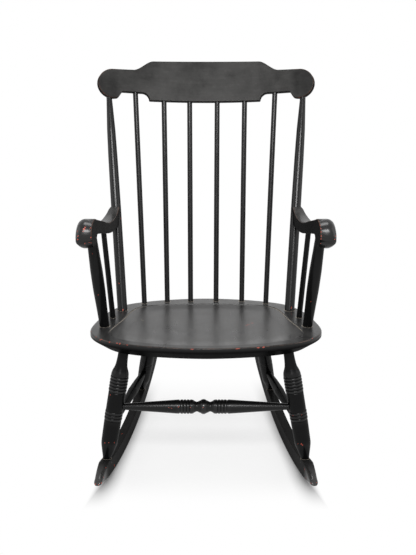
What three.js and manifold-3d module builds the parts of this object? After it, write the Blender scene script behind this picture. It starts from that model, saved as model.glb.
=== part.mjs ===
// A Boston rocking chair: plank seat, turned legs and stretchers, spindle back, rolled arms, two rockers.
// Millimetres, +Z up, -Y is the sitter's front. The floor is Z = 0, and the origin is under the middle.
import * as THREE from 'three';
import { mergeVertices } from 'three/addons/utils/BufferGeometryUtils.js';
import Module from 'manifold-3d';

const wasm = await Module();
wasm.setup();

// Driving dimensions

// The space left between two pieces that fit together
const gap = 0.3;

// The seat lies in its own frame: its top is z = 0 there, and the frame is tilted back on the chair
const seat = {
  halfWidth: 290.5,
  frontReach: 229,
  backReach: 218,
  thickness: 37,
  height: 371.8,
  tilt: THREE.MathUtils.degToRad(4.79),
  edgeRound: 3,
  edgeBand: 13,
  gutterDepth: 3,
  hollowDepth: 8,
  hollowShoulderDepth: 6,
};

// Each rocker is a sawn plank whose sole is an arc. Places along it are counted from the arc's low point
const rocker = {
  radius: 1083,
  depth: 40,
  width: 25,
  spread: 222.1,
  toe: THREE.MathUtils.degToRad(7.46),
  lowPoint: 50,
  facet: 32,
  frontTip: 321,
  frontShoulder: 307,
  frontNoseStart: 250,
  backTip: 429,
  backShoulder: 413,
  backNoseStart: 355,
  outerTaper: 4.5,
  innerTaper: 1.5,
  frontFoot: 221,
  backFoot: 188,
  backFootInset: 2,
};

// Turned pieces: every size is a diameter, unless its name says length or reach
const frontLeg = {
  foot: 19.5,
  ankle: 40.7,
  shaft: 43,
  ring: 44,
  ringGroove: 41.5,
  bead: 44.6,
  beadGroove: 40.5,
  shoulder: 43,
  throat: 31,
  neck: 25,
  tenonEnd: 12.5,
  footTenonLength: 20,
  seatTenonLength: 20,
  seatX: 201.6,
  seatY: -134,
};
const backLeg = {
  foot: 19.5,
  ankle: 36,
  shaft: 39,
  ringGroove: 36.5,
  neck: 25,
  tenonEnd: 12.5,
  footTenonLength: 20,
  seatTenonLength: 20,
  seatX: 144.6,
  seatY: 122,
};
const frontStretcher = {
  end: 15.6,
  swell: 35.7,
  bead: 35,
  beadGroove: 31.5,
  cove: 24.4,
  ball: 37.4,
  ballReach: 7.6,
  coveReach: 16.4,
  beadsStartReach: 27,
  beadsEndReach: 58,
  offCentre: 6,
  tenonEnd: 14,
  tenonLength: 16,
};
const sideStretcher = {
  end: 15.5,
  belly: 27.5,
  waist: 18,
  groove: 16.5,
  line: 4,
  tenonEnd: 13.5,
  tenonLength: 14,
};
const backStretcher = { end: 15, belly: 22, tenonEnd: 13.5, tenonLength: 14 };

// The back: two posts and six spindles rise from the seat into the crest rail
const backPost = {
  seatX: 229.2,
  seatY: 96.8,
  crestX: 267.3,
  foot: 27,
  shaft: 27.2,
  upper: 25.5,
  shoulder: 23,
  top: 15.2,
  tenonEnd: 12,
  seatTenonEnd: 22,
  seatTenonLength: 18,
  crestTenonLength: 34,
};
const spindle = {
  foot: 14.4,
  belly: 14.7,
  top: 14.3,
  tenon: 10,
  seatTenonLength: 18,
  crestTenonLength: 18,
};
const crest = {
  lean: THREE.MathUtils.degToRad(19.45),
  centreY: 330.8,
  centreZ: 899.7,
  bow: 870,
  thickness: 18,
  topHeight: 112.9,
  shoulderHeight: 109.8,
  lobeX: 258.5,
  lobeHeight: 41.2,
  lobeRadius: 39.8,
  neckHeight: 83,
  waistHeight: 20.5,
  panelHalfWidth: 155.6,
  panelOffCentre: -3.3,
  coveRadius: 20,
  shoulderHalfWidth: 148,
  neckX: 204,
  notchX: 232,
  lobeStartX: 234,
};

// The arms: S-shaped, with a roll at the front. An arm's frame starts at the roll's centre, on the inner face
const arm = {
  rollX: 257.1,
  rollY: -157,
  rollZ: 646.6,
  splay: THREE.MathUtils.degToRad(3.43),
  reach: 339,
  rollRadius: 34.5,
  rollWidth: 38.5,
  tenon: 14,
  tenonLength: 14,
  tenonHeight: 605,
};
const armPost = {
  seatX: 258.4,
  seatY: -52.4,
  topX: 271.2,
  topY: -112,
  topZ: 633,
  foot: 24.5,
  low: 26.5,
  belly: 30,
  upper: 26.5,
  top: 23.5,
  seatTenonEnd: 20,
  seatTenonLength: 18,
  tenonEnd: 15,
  tenonLength: 18,
};
const armSpindle = {
  seatX: 246.8,
  seatY: 25.3,
  topX: 257.5,
  topY: 0,
  topZ: 607,
  foot: 14.6,
  top: 13.4,
  tenon: 9.5,
  seatTenonLength: 18,
  tenonLength: 14,
};

// Wooden pegs that lock the tenons
const rockerPeg = { size: 5, drop: 11, proud: 0.4 };
const crestPeg = { size: 4, height: 22, length: 11, proud: 0.4 };
const armPeg = { size: 4, length: 17, ahead: 5.4, proud: 0.4 };

// Facets round the turned pieces
const sides = { leg: 12, post: 12, spindle: 10, peg: 6 };

// How many beads each turned group has
const beadCounts = { legRings: 3, legBeads: 5, rearRings: 1, stretcherBeads: 4 };

// Outlines, as shares of the sizes that they follow

// Half of the seat's plan, from the middle of the back round to the middle of the front:
// across as a share of halfWidth, along as a share of backReach or, where negative, of frontReach
const seatOutlineShares = [
  [0, 1], [0.413, 0.922], [0.637, 0.81], [0.778, 0.688], [0.867, 0.512], [0.922, 0.33], [0.974, 0.02],
  [1, -0.33], [0.971, -0.511], [0.885, -0.681], [0.785, -0.786], [0.64, -0.869], [0.424, -0.943], [0, -1],
];
// The line of the gutter round the hollow of the seat, matched point by point to the outline
const hollowOutlineShares = [
  [0, 0.739], [0.372, 0.7], [0.551, 0.647], [0.637, 0.569], [0.685, 0.45], [0.716, 0.275], [0.754, 0],
  [0.812, -0.297], [0.826, -0.459], [0.778, -0.603], [0.706, -0.69], [0.585, -0.769], [0.389, -0.847],
  [0, -0.904],
];
// The underside follows the edge at these shares of it, so the edge is undercut, most at the front
const underShares = { across: 0.895, along: 0.86 };
const hollowShoulderShare = 0.8;
const hollowFloorShare = 0.42;
const gutterRimShare = 0.93;

// A lobe of the crest starts this far below its centre, as a share of lobeRadius
const lobeStartShare = 0.788;

// Spindles: where each stands on the seat, as shares of halfWidth and backReach, and where it meets the
// crest, as a share of lobeX
const spindleFootShares = [
  [-0.601, 0.76], [-0.381, 0.846], [-0.152, 0.866], [0.099, 0.886], [0.352, 0.866], [0.583, 0.76],
];
const spindleTopShares = [-0.761, -0.456, -0.178, 0.122, 0.419, 0.743];

// Turned profiles: place as a share of the shown length, counted from the lower or front end
const frontLegShares = {
  ankle: 0.1475,
  calf: 0.36,
  rings: [0.37, 0.45],
  beads: [0.63, 0.772],
  shoulder: 0.79,
  throat: 0.855,
  collar: 0.885,
};
const backLegShares = { ankle: 0.14, knee: 0.33, groove: 0.4, thigh: 0.5, neck: 0.9 };
const backPostShares = { shaft: 0.47, upper: 0.72, shoulder: 0.85 };
const armPostShares = { low: 0.2, bellyStart: 0.42, bellyEnd: 0.62, upper: 0.82 };
const sideStretcherShares = { belly: 0.4, waist: 0.68, line: 0.72 };
// How high the stretchers enter the legs, from the foot
const stretcherHeightShares = { front: 0.486, sideFront: 0.3, sideBack: 0.27, rear: 0.535 };
// The front stretcher's ball is widest over this share of its reach
const ballCrownShare = 0.33;
// A bead's crest runs between these shares of its length
const beadCrestShares = [0.25, 0.75];
// How full a plain stretcher is halfway to its belly: a share of the way from its end's size to the belly's
const fullnessShare = 0.67;

// The arm's side view: pairs of places on its top and its underside, from the rear end to the roll.
// Along is a share of reach and up a share of rollRadius. Width is a share of the way from the rear end's
// width to rollWidth, and the rounding of the outer edges a share of rollRadius
const armStationShares = [
  { top: [1.01, -0.55], under: [0.97, -1.775], width: 0, round: 0.08 },
  { top: [0.93, -0.72], under: [0.93, -1.76], width: 0.46, round: 0.08 },
  { top: [0.84, -0.8], under: [0.84, -1.72], width: 0.62, round: 0.08 },
  { top: [0.72, -0.79], under: [0.7, -1.63], width: 0.67, round: 0.08 },
  { top: [0.6, -0.684], under: [0.57, -1.43], width: 0.7, round: 0.08 },
  { top: [0.48, -0.4], under: [0.45, -1.148], width: 0.74, round: 0.1 },
  { top: [0.36, -0.02], under: [0.33, -0.83], width: 0.8, round: 0.12 },
  { top: [0.24, 0.33], under: [0.21, -0.54], width: 0.87, round: 0.18 },
  { top: [0.135, 0.64], under: [0.115, -0.35], width: 0.94, round: 0.3 },
  { top: [0.06, 0.88], under: [0.08, -0.57], width: 0.98, round: 0.42 },
];
// The roll: the same pairs, as shares of a half turn about its centre from straight up towards the front
const armRollShares = [
  { top: 0, under: 1.2, width: 1, round: 0.52 },
  { top: 0.14, under: 1.07, width: 1, round: 0.52 },
  { top: 0.27, under: 0.95, width: 1, round: 0.5 },
  { top: 0.39, under: 0.83, width: 0.95, round: 0.46 },
  { top: 0.49, under: 0.73, width: 0.86, round: 0.4 },
  { top: 0.56, under: 0.66, width: 0.75, round: 0.3 },
];
// The rear end: its width and where it is cut off before the post's axis are shares of the post's size, and
// its tenon's place is a share of that width across and, below the roll's centre, of rollRadius.
// Between the two bend shares of its reach, the arm bends to meet the post
const armTailShares = { width: 0.8, cut: 0.31, across: 0.415, drop: 1.206 };
const armBendShares = [0.5, 0.93];

const shades = { paint: 0x2b2b2a, seatPaint: 0x45433f, peg: 0x3a332c };

// Frames: the seat's, the crest's and each rocker's own axes within the chair

const seatFrame = new THREE.Matrix4()
  .makeTranslation(0, 0, seat.height)
  .multiply(new THREE.Matrix4().makeRotationX(-seat.tilt));
const crestFrame = new THREE.Matrix4()
  .makeTranslation(0, crest.centreY, crest.centreZ)
  .multiply(new THREE.Matrix4().makeRotationX(-crest.lean));

function rockerFrame(side) {
  return new THREE.Matrix4()
    .makeTranslation(side * rocker.spread, rocker.lowPoint, 0)
    .multiply(new THREE.Matrix4().makeRotationZ(side * rocker.toe));
}

function armFrame(side) {
  return new THREE.Matrix4()
    .makeTranslation(side * arm.rollX, arm.rollY, arm.rollZ)
    .multiply(new THREE.Matrix4().makeRotationZ(side * arm.splay));
}

function placeIn(frame, x, y, z) {
  return new THREE.Vector3(x, y, z).applyMatrix4(frame);
}

// Heights of the rocker's sole and top at a place along it
function soleHeight(along) {
  return rocker.radius - Math.sqrt(rocker.radius ** 2 - along ** 2);
}

function rockerTopHeight(along) {
  return rocker.radius - Math.sqrt((rocker.radius - rocker.depth) ** 2 - along ** 2);
}

// How far forward of its middle the crest's centre surface lies at a distance across
function crestBow(across) {
  return crest.bow - Math.sqrt(crest.bow ** 2 - across ** 2);
}

// Height of the crest's lower edge, at a distance across, where a spindle meets it
function crestUnderside(across) {
  const fromPanel = Math.abs(across - crest.panelOffCentre) - crest.panelHalfWidth;
  return fromPanel < 0 ? 0 : crest.waistHeight;
}

// Solids

function finish(shade, roughness = 0.5) {
  return new THREE.MeshStandardMaterial({ color: shade, roughness, metalness: 0 });
}

function piece(name, geometry, shade) {
  const mesh = new THREE.Mesh(geometry, finish(shade));
  mesh.name = name;
  return mesh;
}

// A closed solid of revolution about +Y: stations are [place along, diameter], growth is added all round
function turning(stations, facets, growth = 0) {
  const [first] = stations;
  const last = stations[stations.length - 1];
  const outline = [new THREE.Vector2(0, first[0] - growth)];
  for (const station of stations) {
    let place = station[0];
    if (station === first) place -= growth;
    if (station === last) place += growth;
    outline.push(new THREE.Vector2(station[1] / 2 + growth, place));
  }
  outline.push(new THREE.Vector2(0, last[0] + growth));
  return new THREE.LatheGeometry(outline, facets);
}

// A stick turned between two points. The profile runs from one to the other, and tenons run on past them
function stick(name, from, to, profile, tenons, facets, shade = shades.paint) {
  const along = new THREE.Vector3().subVectors(to, from);
  const length = along.length();
  const stations = [[-tenons.start, tenons.startSize], ...profile(length)];
  if (tenons.endShoulder) stations.push([length - tenons.endShoulder, tenons.endSize]);
  stations.push([length + tenons.end, tenons.endSize]);
  const mesh = piece(name, turning(stations, facets), shade);
  mesh.position.copy(from);
  mesh.quaternion.setFromUnitVectors(new THREE.Vector3(0, 1, 0), along.normalize());
  mesh.userData.socket = turning(stations, facets, gap);
  mesh.userData.end = to;
  return mesh;
}

// Rounded beads between two places: one crest each, with a groove on either side
function beads(start, end, count, crestSize, grooveSize) {
  const pitch = (end - start) / count;
  const stations = [[start, grooveSize]];
  for (let bead = 0; bead < count; bead++) {
    const at = start + bead * pitch;
    for (const share of beadCrestShares) stations.push([at + share * pitch, crestSize]);
    stations.push([at + pitch, grooveSize]);
  }
  return stations;
}

// A diameter between a stretcher's end and its belly
function partWay(size) {
  return THREE.MathUtils.lerp(size.end, size.belly, fullnessShare);
}

// A geometry as a manifold solid, with its vertices merged and its empty triangles left out
function solid(geometry, matrix = new THREE.Matrix4()) {
  const bare = geometry.clone().applyMatrix4(matrix);
  bare.deleteAttribute('normal');
  bare.deleteAttribute('uv');
  const merged = mergeVertices(bare);
  const corners = merged.index.array;
  const kept = [];
  for (let at = 0; at < corners.length; at += 3) {
    const [a, b, c] = corners.slice(at, at + 3);
    if (a !== b && b !== c && c !== a) kept.push(a, b, c);
  }
  return new wasm.Manifold(new wasm.Mesh({
    numProp: 3,
    vertProperties: merged.attributes.position.array,
    triVerts: new Uint32Array(kept),
  }));
}

function geometryOf(manifold) {
  const mesh = manifold.getMesh();
  const geometry = new THREE.BufferGeometry();
  geometry.setAttribute('position', new THREE.BufferAttribute(mesh.vertProperties.slice(), 3));
  geometry.setIndex(new THREE.BufferAttribute(mesh.triVerts.slice(), 1));
  geometry.computeVertexNormals();
  return geometry;
}

// Cuts each tool's socket, a little larger than the tool, out of a piece
function socketFor(target, ...tools) {
  target.updateMatrix();
  const home = target.matrix.clone().invert();
  let body = solid(target.geometry);
  for (const tool of tools) {
    tool.updateMatrix();
    body = body.subtract(solid(tool.userData.socket, home.clone().multiply(tool.matrix)));
  }
  target.geometry = geometryOf(body);
}

// A slab of an outline drawn in the side view, along and up, as thick as width, centred across
function sideSlab(outline, width) {
  const slab = new THREE.ExtrudeGeometry(outline, { depth: width, bevelEnabled: false, curveSegments: 12 });
  slab.translate(0, 0, -width / 2);
  return slab.applyMatrix4(new THREE.Matrix4().makeBasis(
    new THREE.Vector3(0, 1, 0), new THREE.Vector3(0, 0, 1), new THREE.Vector3(1, 0, 0)));
}

// A slab of an outline drawn in plan, centred on a height
function planSlab(outline, depth, height) {
  const slab = new THREE.ExtrudeGeometry(outline, { depth, bevelEnabled: false });
  return slab.translate(0, 0, height - depth / 2);
}

// A slab of an outline drawn in the front view, across and up
function frontSlab(outline, depth) {
  const slab = new THREE.ExtrudeGeometry(outline, { depth, bevelEnabled: false, curveSegments: 10 });
  slab.translate(0, 0, -depth / 2);
  return slab.applyMatrix4(new THREE.Matrix4().makeBasis(
    new THREE.Vector3(1, 0, 0), new THREE.Vector3(0, 0, 1), new THREE.Vector3(0, -1, 0)));
}

function put(mesh, frame) {
  mesh.applyMatrix4(frame);
  return mesh;
}

// A closed body of convex rings that all have as many points, with a flat lid on its first and last ring
function rings(loops) {
  const count = loops[0].length;
  const places = loops.flat();
  const corners = [];
  for (let ring = 0; ring + 1 < loops.length; ring++) {
    for (let at = 0; at < count; at++) {
      const a = ring * count + at;
      const b = ring * count + (at + 1) % count;
      corners.push(a, b, b + count, a, b + count, a + count);
    }
  }
  const lastStart = (loops.length - 1) * count;
  for (let at = 1; at + 1 < count; at++) {
    corners.push(0, at + 1, at, lastStart, lastStart + at, lastStart + at + 1);
  }
  const geometry = new THREE.BufferGeometry().setFromPoints(places);
  geometry.setIndex(corners);
  geometry.computeVertexNormals();
  return geometry;
}

// The seat

// A closed smooth loop through half an outline and its mirror image, counter-clockwise seen from above
function seatLoop(shares) {
  const right = shares.map(([across, along]) => new THREE.Vector3(
    across * seat.halfWidth, along * (along < 0 ? seat.frontReach : seat.backReach), 0));
  const left = right.slice(1, -1).map((point) => new THREE.Vector3(-point.x, point.y, 0));
  const loop = new THREE.CatmullRomCurve3([...right.reverse(), ...left], true, 'centripetal');
  const pointsPerSpan = 2;
  return loop.getPoints(loop.points.length * pointsPerSpan).slice(0, -1);
}

function raised(loop, height, acrossShare = 1, alongShare = acrossShare) {
  return loop.map((point) => new THREE.Vector3(point.x * acrossShare, point.y * alongShare, height));
}

function makeSeat() {
  const edge = seatLoop(seatOutlineShares);
  const gutter = seatLoop(hollowOutlineShares);
  const topShare = 1 - seat.edgeRound / seat.halfWidth;
  const rim = edge.map((point, at) => point.clone().lerp(gutter[at], gutterRimShare));
  const loops = [
    raised(edge, -seat.thickness, underShares.across, underShares.along),
    raised(edge, -seat.edgeBand),
    raised(edge, -seat.edgeRound),
    raised(edge, 0, topShare),
    raised(rim, 0),
    raised(gutter, -seat.gutterDepth),
    raised(gutter, -seat.hollowShoulderDepth, hollowShoulderShare),
    raised(gutter, -seat.hollowDepth, hollowFloorShare),
  ];
  return put(piece('seat', rings(loops), shades.seatPaint), seatFrame);
}

// Rockers and the underframe

// A rocker's plan: its nose and its tail taper a little, most on the outer side
function rockerPlan(side) {
  const half = rocker.width / 2;
  const outline = [
    [half, -rocker.frontNoseStart],
    [half, rocker.backNoseStart],
    [half - rocker.outerTaper, rocker.backTip],
    [rocker.innerTaper - half, rocker.backTip],
    [-half, rocker.backNoseStart],
    [-half, -rocker.frontNoseStart],
    [rocker.innerTaper - half, -rocker.frontTip],
    [half - rocker.outerTaper, -rocker.frontTip],
  ];
  return new THREE.Shape(outline.map(([across, along]) => new THREE.Vector2(side * across, along)));
}

function makeRocker(side, label) {
  const turn = rocker.facet / rocker.radius;
  const outline = new THREE.Shape();
  const soleSteps = (reach) => Math.floor(reach / rocker.facet - 1 / 2);
  outline.moveTo(-rocker.frontTip, soleHeight(rocker.frontTip));
  for (let step = -soleSteps(rocker.frontTip) - 1; step <= soleSteps(rocker.backTip); step++) {
    const angle = (step + 1 / 2) * turn;
    outline.lineTo(rocker.radius * Math.sin(angle), rocker.radius * (1 - Math.cos(angle)));
  }
  outline.lineTo(rocker.backTip, soleHeight(rocker.backTip));
  outline.quadraticCurveTo(rocker.backShoulder, rockerTopHeight(rocker.backShoulder),
    rocker.backNoseStart, rockerTopHeight(rocker.backNoseStart));
  const topSteps = 14;
  for (let step = 1; step < topSteps; step++) {
    const along = THREE.MathUtils.lerp(rocker.backNoseStart, -rocker.frontNoseStart, step / topSteps);
    outline.lineTo(along, rockerTopHeight(along));
  }
  outline.lineTo(-rocker.frontNoseStart, rockerTopHeight(rocker.frontNoseStart));
  outline.quadraticCurveTo(-rocker.frontShoulder, rockerTopHeight(rocker.frontNoseStart),
    -rocker.frontTip, soleHeight(rocker.frontTip));
  const plank = solid(sideSlab(outline, 2 * rocker.width));
  const body = plank.intersect(solid(planSlab(rockerPlan(side), rocker.radius, 0)));
  return put(piece(`rocker_${label}`, geometryOf(body), shades.paint), rockerFrame(side));
}

// A leg's two ends: on the rocker's top and on the seat's underside
function legEnds(side, isFront) {
  const along = isFront ? -rocker.frontFoot : rocker.backFoot;
  const across = isFront ? 0 : -side * rocker.backFootInset;
  const size = isFront ? frontLeg : backLeg;
  return {
    foot: placeIn(rockerFrame(side), across, along, rockerTopHeight(along)),
    top: placeIn(seatFrame, side * size.seatX, size.seatY, -seat.thickness),
  };
}

// A place on a leg's axis, as a share of its shown length from the foot
function onLeg(side, isFront, share) {
  const { foot, top } = legEnds(side, isFront);
  return foot.lerp(top, share);
}

function legTenons(size) {
  return {
    start: size.footTenonLength, startSize: size.tenonEnd,
    end: size.seatTenonLength, endSize: (size.neck + size.tenonEnd) / 2,
  };
}

function makeFrontLeg(side, label) {
  const { foot, top } = legEnds(side, true);
  const size = frontLeg;
  const profile = (length) => {
    const [ringStart, ringEnd] = frontLegShares.rings.map((share) => share * length);
    const [beadStart, beadEnd] = frontLegShares.beads.map((share) => share * length);
    return [
      [0, size.foot],
      [frontLegShares.ankle * length, size.ankle],
      [frontLegShares.calf * length, size.shaft],
      ...beads(ringStart, ringEnd, beadCounts.legRings, size.ring, size.ringGroove),
      [ringEnd + gap, size.shaft],
      [beadStart - gap, size.shaft],
      ...beads(beadStart, beadEnd, beadCounts.legBeads, size.bead, size.beadGroove),
      [frontLegShares.shoulder * length, size.shoulder],
      [frontLegShares.throat * length, size.throat],
      [frontLegShares.collar * length, (size.throat + size.neck) / 2],
      [length, size.neck],
    ];
  };
  return stick(`front_leg_${label}`, foot, top, profile, legTenons(size), sides.leg);
}

function makeBackLeg(side, label) {
  const { foot, top } = legEnds(side, false);
  const size = backLeg;
  const shares = backLegShares;
  const ringEnds = (length) => [shares.groove * length, shares.thigh * length];
  const profile = (length) => [
    [0, size.foot],
    [shares.ankle * length, size.ankle],
    [shares.knee * length, size.shaft],
    ...beads(...ringEnds(length), beadCounts.rearRings, size.shaft, size.ringGroove),
    [shares.thigh * length + gap, size.shaft],
    [shares.neck * length, size.neck],
    [length, size.neck],
  ];
  return stick(`rear_leg_${label}`, foot, top, profile, legTenons(size), sides.leg);
}

// A rail between two legs' axes, shown from surface to surface
function rail(name, from, to, fromSize, toSize, size, profile, facets) {
  const along = new THREE.Vector3().subVectors(to, from).normalize();
  const start = from.clone().addScaledVector(along, fromSize / 2);
  const end = to.clone().addScaledVector(along, -toSize / 2);
  return stick(name, start, end, profile, {
    start: size.tenonLength, startSize: size.tenonEnd,
    end: size.tenonLength, endSize: size.tenonEnd,
  }, facets);
}

function makeFrontStretcher() {
  const [from, to] = [-1, 1].map((side) => onLeg(side, true, stretcherHeightShares.front));
  const size = frontStretcher;
  const profile = (length) => {
    const half = (sign) => {
      const at = (reach) => length / 2 - size.offCentre + sign * reach;
      return [
        [at(size.ballReach * ballCrownShare), size.ball],
        [at(size.ballReach), (size.ball + size.cove) / 2],
        [at(size.coveReach), size.cove],
        ...beads(at(size.beadsStartReach), at(size.beadsEndReach), beadCounts.stretcherBeads,
          size.bead, size.beadGroove),
        [at(size.beadsEndReach + gap), size.swell],
      ];
    };
    return [[0, size.end], ...half(-1).reverse(), ...half(1), [length, size.end]];
  };
  return rail('front_stretcher', from, to, frontLeg.shaft, frontLeg.shaft, size, profile, sides.leg);
}

function makeSideStretcher(side, label) {
  const from = onLeg(side, true, stretcherHeightShares.sideFront);
  const to = onLeg(side, false, stretcherHeightShares.sideBack);
  const name = `side_stretcher_${label}`;
  const size = sideStretcher;
  const shares = sideStretcherShares;
  const profile = (length) => [
    [0, size.end],
    [shares.belly / 2 * length, partWay(size)],
    [shares.belly * length, size.belly],
    [(shares.belly + shares.waist) / 2 * length, partWay(size)],
    [shares.waist * length, size.waist],
    [shares.line * length - size.line / 2, size.waist],
    [shares.line * length, size.groove],
    [shares.line * length + size.line / 2, size.waist],
    [length, size.end],
  ];
  return rail(name, from, to, frontLeg.shaft, backLeg.shaft, size, profile, sides.spindle);
}

function makeRearStretcher() {
  const [from, to] = [-1, 1].map((side) => onLeg(side, false, stretcherHeightShares.rear));
  const size = backStretcher;
  const profile = (length) => [
    [0, size.end],
    [length / 4, partWay(size)],
    [length / 2, size.belly],
    [length * 3 / 4, partWay(size)],
    [length, size.end],
  ];
  return rail('rear_stretcher', from, to, backLeg.shaft, backLeg.shaft, size, profile, sides.spindle);
}

// The back

// Where a post or spindle meets the crest's lower edge
function underCrest(across, height) {
  return placeIn(crestFrame, across, -crestBow(across), height);
}

function makeBackPost(side, label) {
  const foot = placeIn(seatFrame, side * backPost.seatX, backPost.seatY, 0);
  const fromLobe = backPost.crestX - crest.lobeX;
  const lobeEdge = crest.lobeHeight - Math.sqrt(crest.lobeRadius ** 2 - fromLobe ** 2);
  const top = underCrest(side * backPost.crestX, lobeEdge);
  const profile = (length) => [
    [0, backPost.foot],
    [length * backPostShares.shaft, backPost.shaft],
    [length * backPostShares.upper, backPost.upper],
    [length * backPostShares.shoulder, backPost.shoulder],
    [length, backPost.top],
  ];
  return stick(`back_post_${label}`, foot, top, profile, {
    start: backPost.seatTenonLength, startSize: backPost.seatTenonEnd,
    end: backPost.crestTenonLength, endSize: backPost.tenonEnd,
  }, sides.post);
}

function makeSpindle(number) {
  const [across, along] = spindleFootShares[number];
  const foot = placeIn(seatFrame, across * seat.halfWidth, along * seat.backReach, 0);
  const topX = spindleTopShares[number] * crest.lobeX;
  const top = underCrest(topX, crestUnderside(topX));
  const profile = (length) => [
    [0, spindle.foot],
    [length / 2, spindle.belly],
    [length - 2 * gap, spindle.top],
  ];
  return stick(`back_spindle_${number + 1}`, foot, top, profile, {
    start: spindle.seatTenonLength, startSize: spindle.tenon,
    end: spindle.crestTenonLength, endSize: spindle.tenon, endShoulder: 2 * gap,
  }, sides.spindle);
}

function crestOutline() {
  const half = (sign) => {
    const lobeAngle = Math.atan2(lobeStartShare * crest.lobeRadius, crest.lobeStartX - crest.lobeX);
    const panelEnd = crest.panelHalfWidth + sign * crest.panelOffCentre;
    const points = [[panelEnd, 0]];
    const coveSteps = 5;
    for (let step = 1; step <= coveSteps; step++) {
      const angle = Math.PI / 2 * step / coveSteps;
      const across = panelEnd + crest.coveRadius * (1 - Math.cos(angle));
      points.push([across, crest.waistHeight * Math.sin(angle)]);
    }
    points.push([crest.notchX, crest.waistHeight]);
    const lobeSteps = 18;
    for (let step = 0; step <= lobeSteps; step++) {
      const angle = THREE.MathUtils.lerp(-lobeAngle, Math.PI / 2, step / lobeSteps);
      const across = crest.lobeX + crest.lobeRadius * Math.cos(angle);
      points.push([across, crest.lobeHeight + crest.lobeRadius * Math.sin(angle)]);
    }
    const sweepSteps = 7;
    for (let step = 0; step <= sweepSteps; step++) {
      const share = step / sweepSteps;
      const rise = THREE.MathUtils.smoothstep(share, 0, 1);
      const across = THREE.MathUtils.lerp(crest.neckX, crest.shoulderHalfWidth, share);
      points.push([across, THREE.MathUtils.lerp(crest.neckHeight, crest.shoulderHeight, rise)]);
    }
    return points.map(([across, up]) => new THREE.Vector2(sign * across, up));
  };
  return new THREE.Shape([...half(1), new THREE.Vector2(0, crest.topHeight), ...half(-1).reverse()]);
}

// A bent board: a band of an arc in plan, with the crest's outline sawn through it
function makeCrest() {
  const band = new THREE.Shape();
  const outer = crest.bow + crest.thickness / 2;
  const inner = crest.bow - crest.thickness / 2;
  const overrun = crest.lobeRadius;
  const halfTurn = Math.asin((crest.lobeX + crest.lobeRadius + overrun) / crest.bow);
  const upright = Math.PI / 2;
  band.absarc(0, -crest.bow, outer, upright - halfTurn, upright + halfTurn, false);
  band.absarc(0, -crest.bow, inner, upright + halfTurn, upright - halfTurn, true);
  const board = new THREE.ExtrudeGeometry(band, {
    depth: crest.topHeight * 2, bevelEnabled: false, curveSegments: 18,
  });
  board.translate(0, 0, -crest.topHeight / 2);
  const outline = frontSlab(crestOutline(), crest.bow / 2);
  const geometry = geometryOf(solid(board).intersect(solid(outline)));
  return put(piece('crest_rail', geometry, shades.paint), crestFrame);
}

// The arms

// One ring round the arm at a station: from its inner foot up, over its rounded outer side and back
function armRing(side, { top, under, width, round, sway }) {
  const up = new THREE.Vector3().subVectors(top, under);
  const height = up.length();
  up.normalize();
  const across = THREE.MathUtils.lerp(armTailShares.width * backPost.shaft, arm.rollWidth, width);
  const radius = Math.min(round * arm.rollRadius, height / 2);
  const at = (out, rise) => under.clone().addScaledVector(up, rise).setX(side * (out + sway));
  const ring = [at(0, 0), at(0, height)];
  const cornerSteps = 3;
  for (const [rise, start] of [[height - radius, Math.PI / 2], [radius, 0]]) {
    for (let step = 0; step <= cornerSteps; step++) {
      const angle = start - Math.PI / 2 * step / cornerSteps;
      ring.push(at(across - radius + radius * Math.cos(angle), rise + radius * Math.sin(angle)));
    }
  }
  return side > 0 ? ring.reverse() : ring;
}

// The arm's stations, bent sideways and up or down so that the rear end meets its tenon
function armStations(side, tenon) {
  const sway = side * tenon.x - armTailShares.across * armTailShares.width * backPost.shaft;
  const lift = tenon.z + armTailShares.drop * arm.rollRadius;
  const bend = (along) => THREE.MathUtils.smoothstep(along, ...armBendShares);
  const inSideView = ([along, up]) => new THREE.Vector3(
    0, along * arm.reach, up * arm.rollRadius + lift * bend(along));
  const onRoll = (turn) => new THREE.Vector3(
    0, -arm.rollRadius * Math.sin(turn * Math.PI), arm.rollRadius * Math.cos(turn * Math.PI));
  return [
    ...armStationShares.map((station) => ({
      ...station,
      top: inSideView(station.top),
      under: inSideView(station.under),
      sway: sway * bend(station.top[0]),
    })),
    ...armRollShares.map((station) => (
      { ...station, top: onRoll(station.top), under: onRoll(station.under), sway: 0 })),
  ];
}

// A round tenon from the arm's rear end into the back post
function armTenon(side, post) {
  const upPost = (arm.tenonHeight - post.position.z) / axisOf(post).z;
  const middle = post.position.clone().addScaledVector(axisOf(post), upPost);
  const local = middle.clone().applyMatrix4(armFrame(side).invert());
  const startAlong = Math.min(armBendShares[1] * arm.reach, local.y - backPost.shaft);
  const endAlong = local.y - backPost.shaft / 2 + arm.tenonLength;
  const start = placeIn(armFrame(side), local.x, startAlong, local.z);
  const end = placeIn(armFrame(side), local.x, endAlong, local.z);
  const profile = (length) => [[0, arm.tenon], [length, arm.tenon]];
  const tenon = stick('tenon', start, end, profile, {
    start: gap, startSize: arm.tenon, end: gap, endSize: arm.tenon - gap,
  }, sides.spindle);
  tenon.userData.middle = middle;
  tenon.userData.local = local;
  return tenon;
}

// The direction that a turned piece runs in
function axisOf(turned) {
  return new THREE.Vector3(0, 1, 0).applyQuaternion(turned.quaternion);
}

// The arm is cut off at the post, hollowed to the post's round and joined with its tenon
function makeArm(side, label, post, tenon) {
  const { local } = tenon.userData;
  const drawn = solid(rings(armStations(side, local).map((station) => armRing(side, station))));
  const body = geometryOf(drawn.trimByPlane([0, -1, 0], armTailShares.cut * backPost.shaft - local.y));
  const mesh = put(piece(`arm_${label}`, body, shades.paint), armFrame(side));
  socketFor(mesh, post);
  mesh.updateMatrix();
  tenon.updateMatrix();
  const home = mesh.matrix.clone().invert();
  const joined = solid(mesh.geometry).add(solid(tenon.geometry, home.multiply(tenon.matrix)));
  mesh.geometry = geometryOf(joined);
  return mesh;
}

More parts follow.
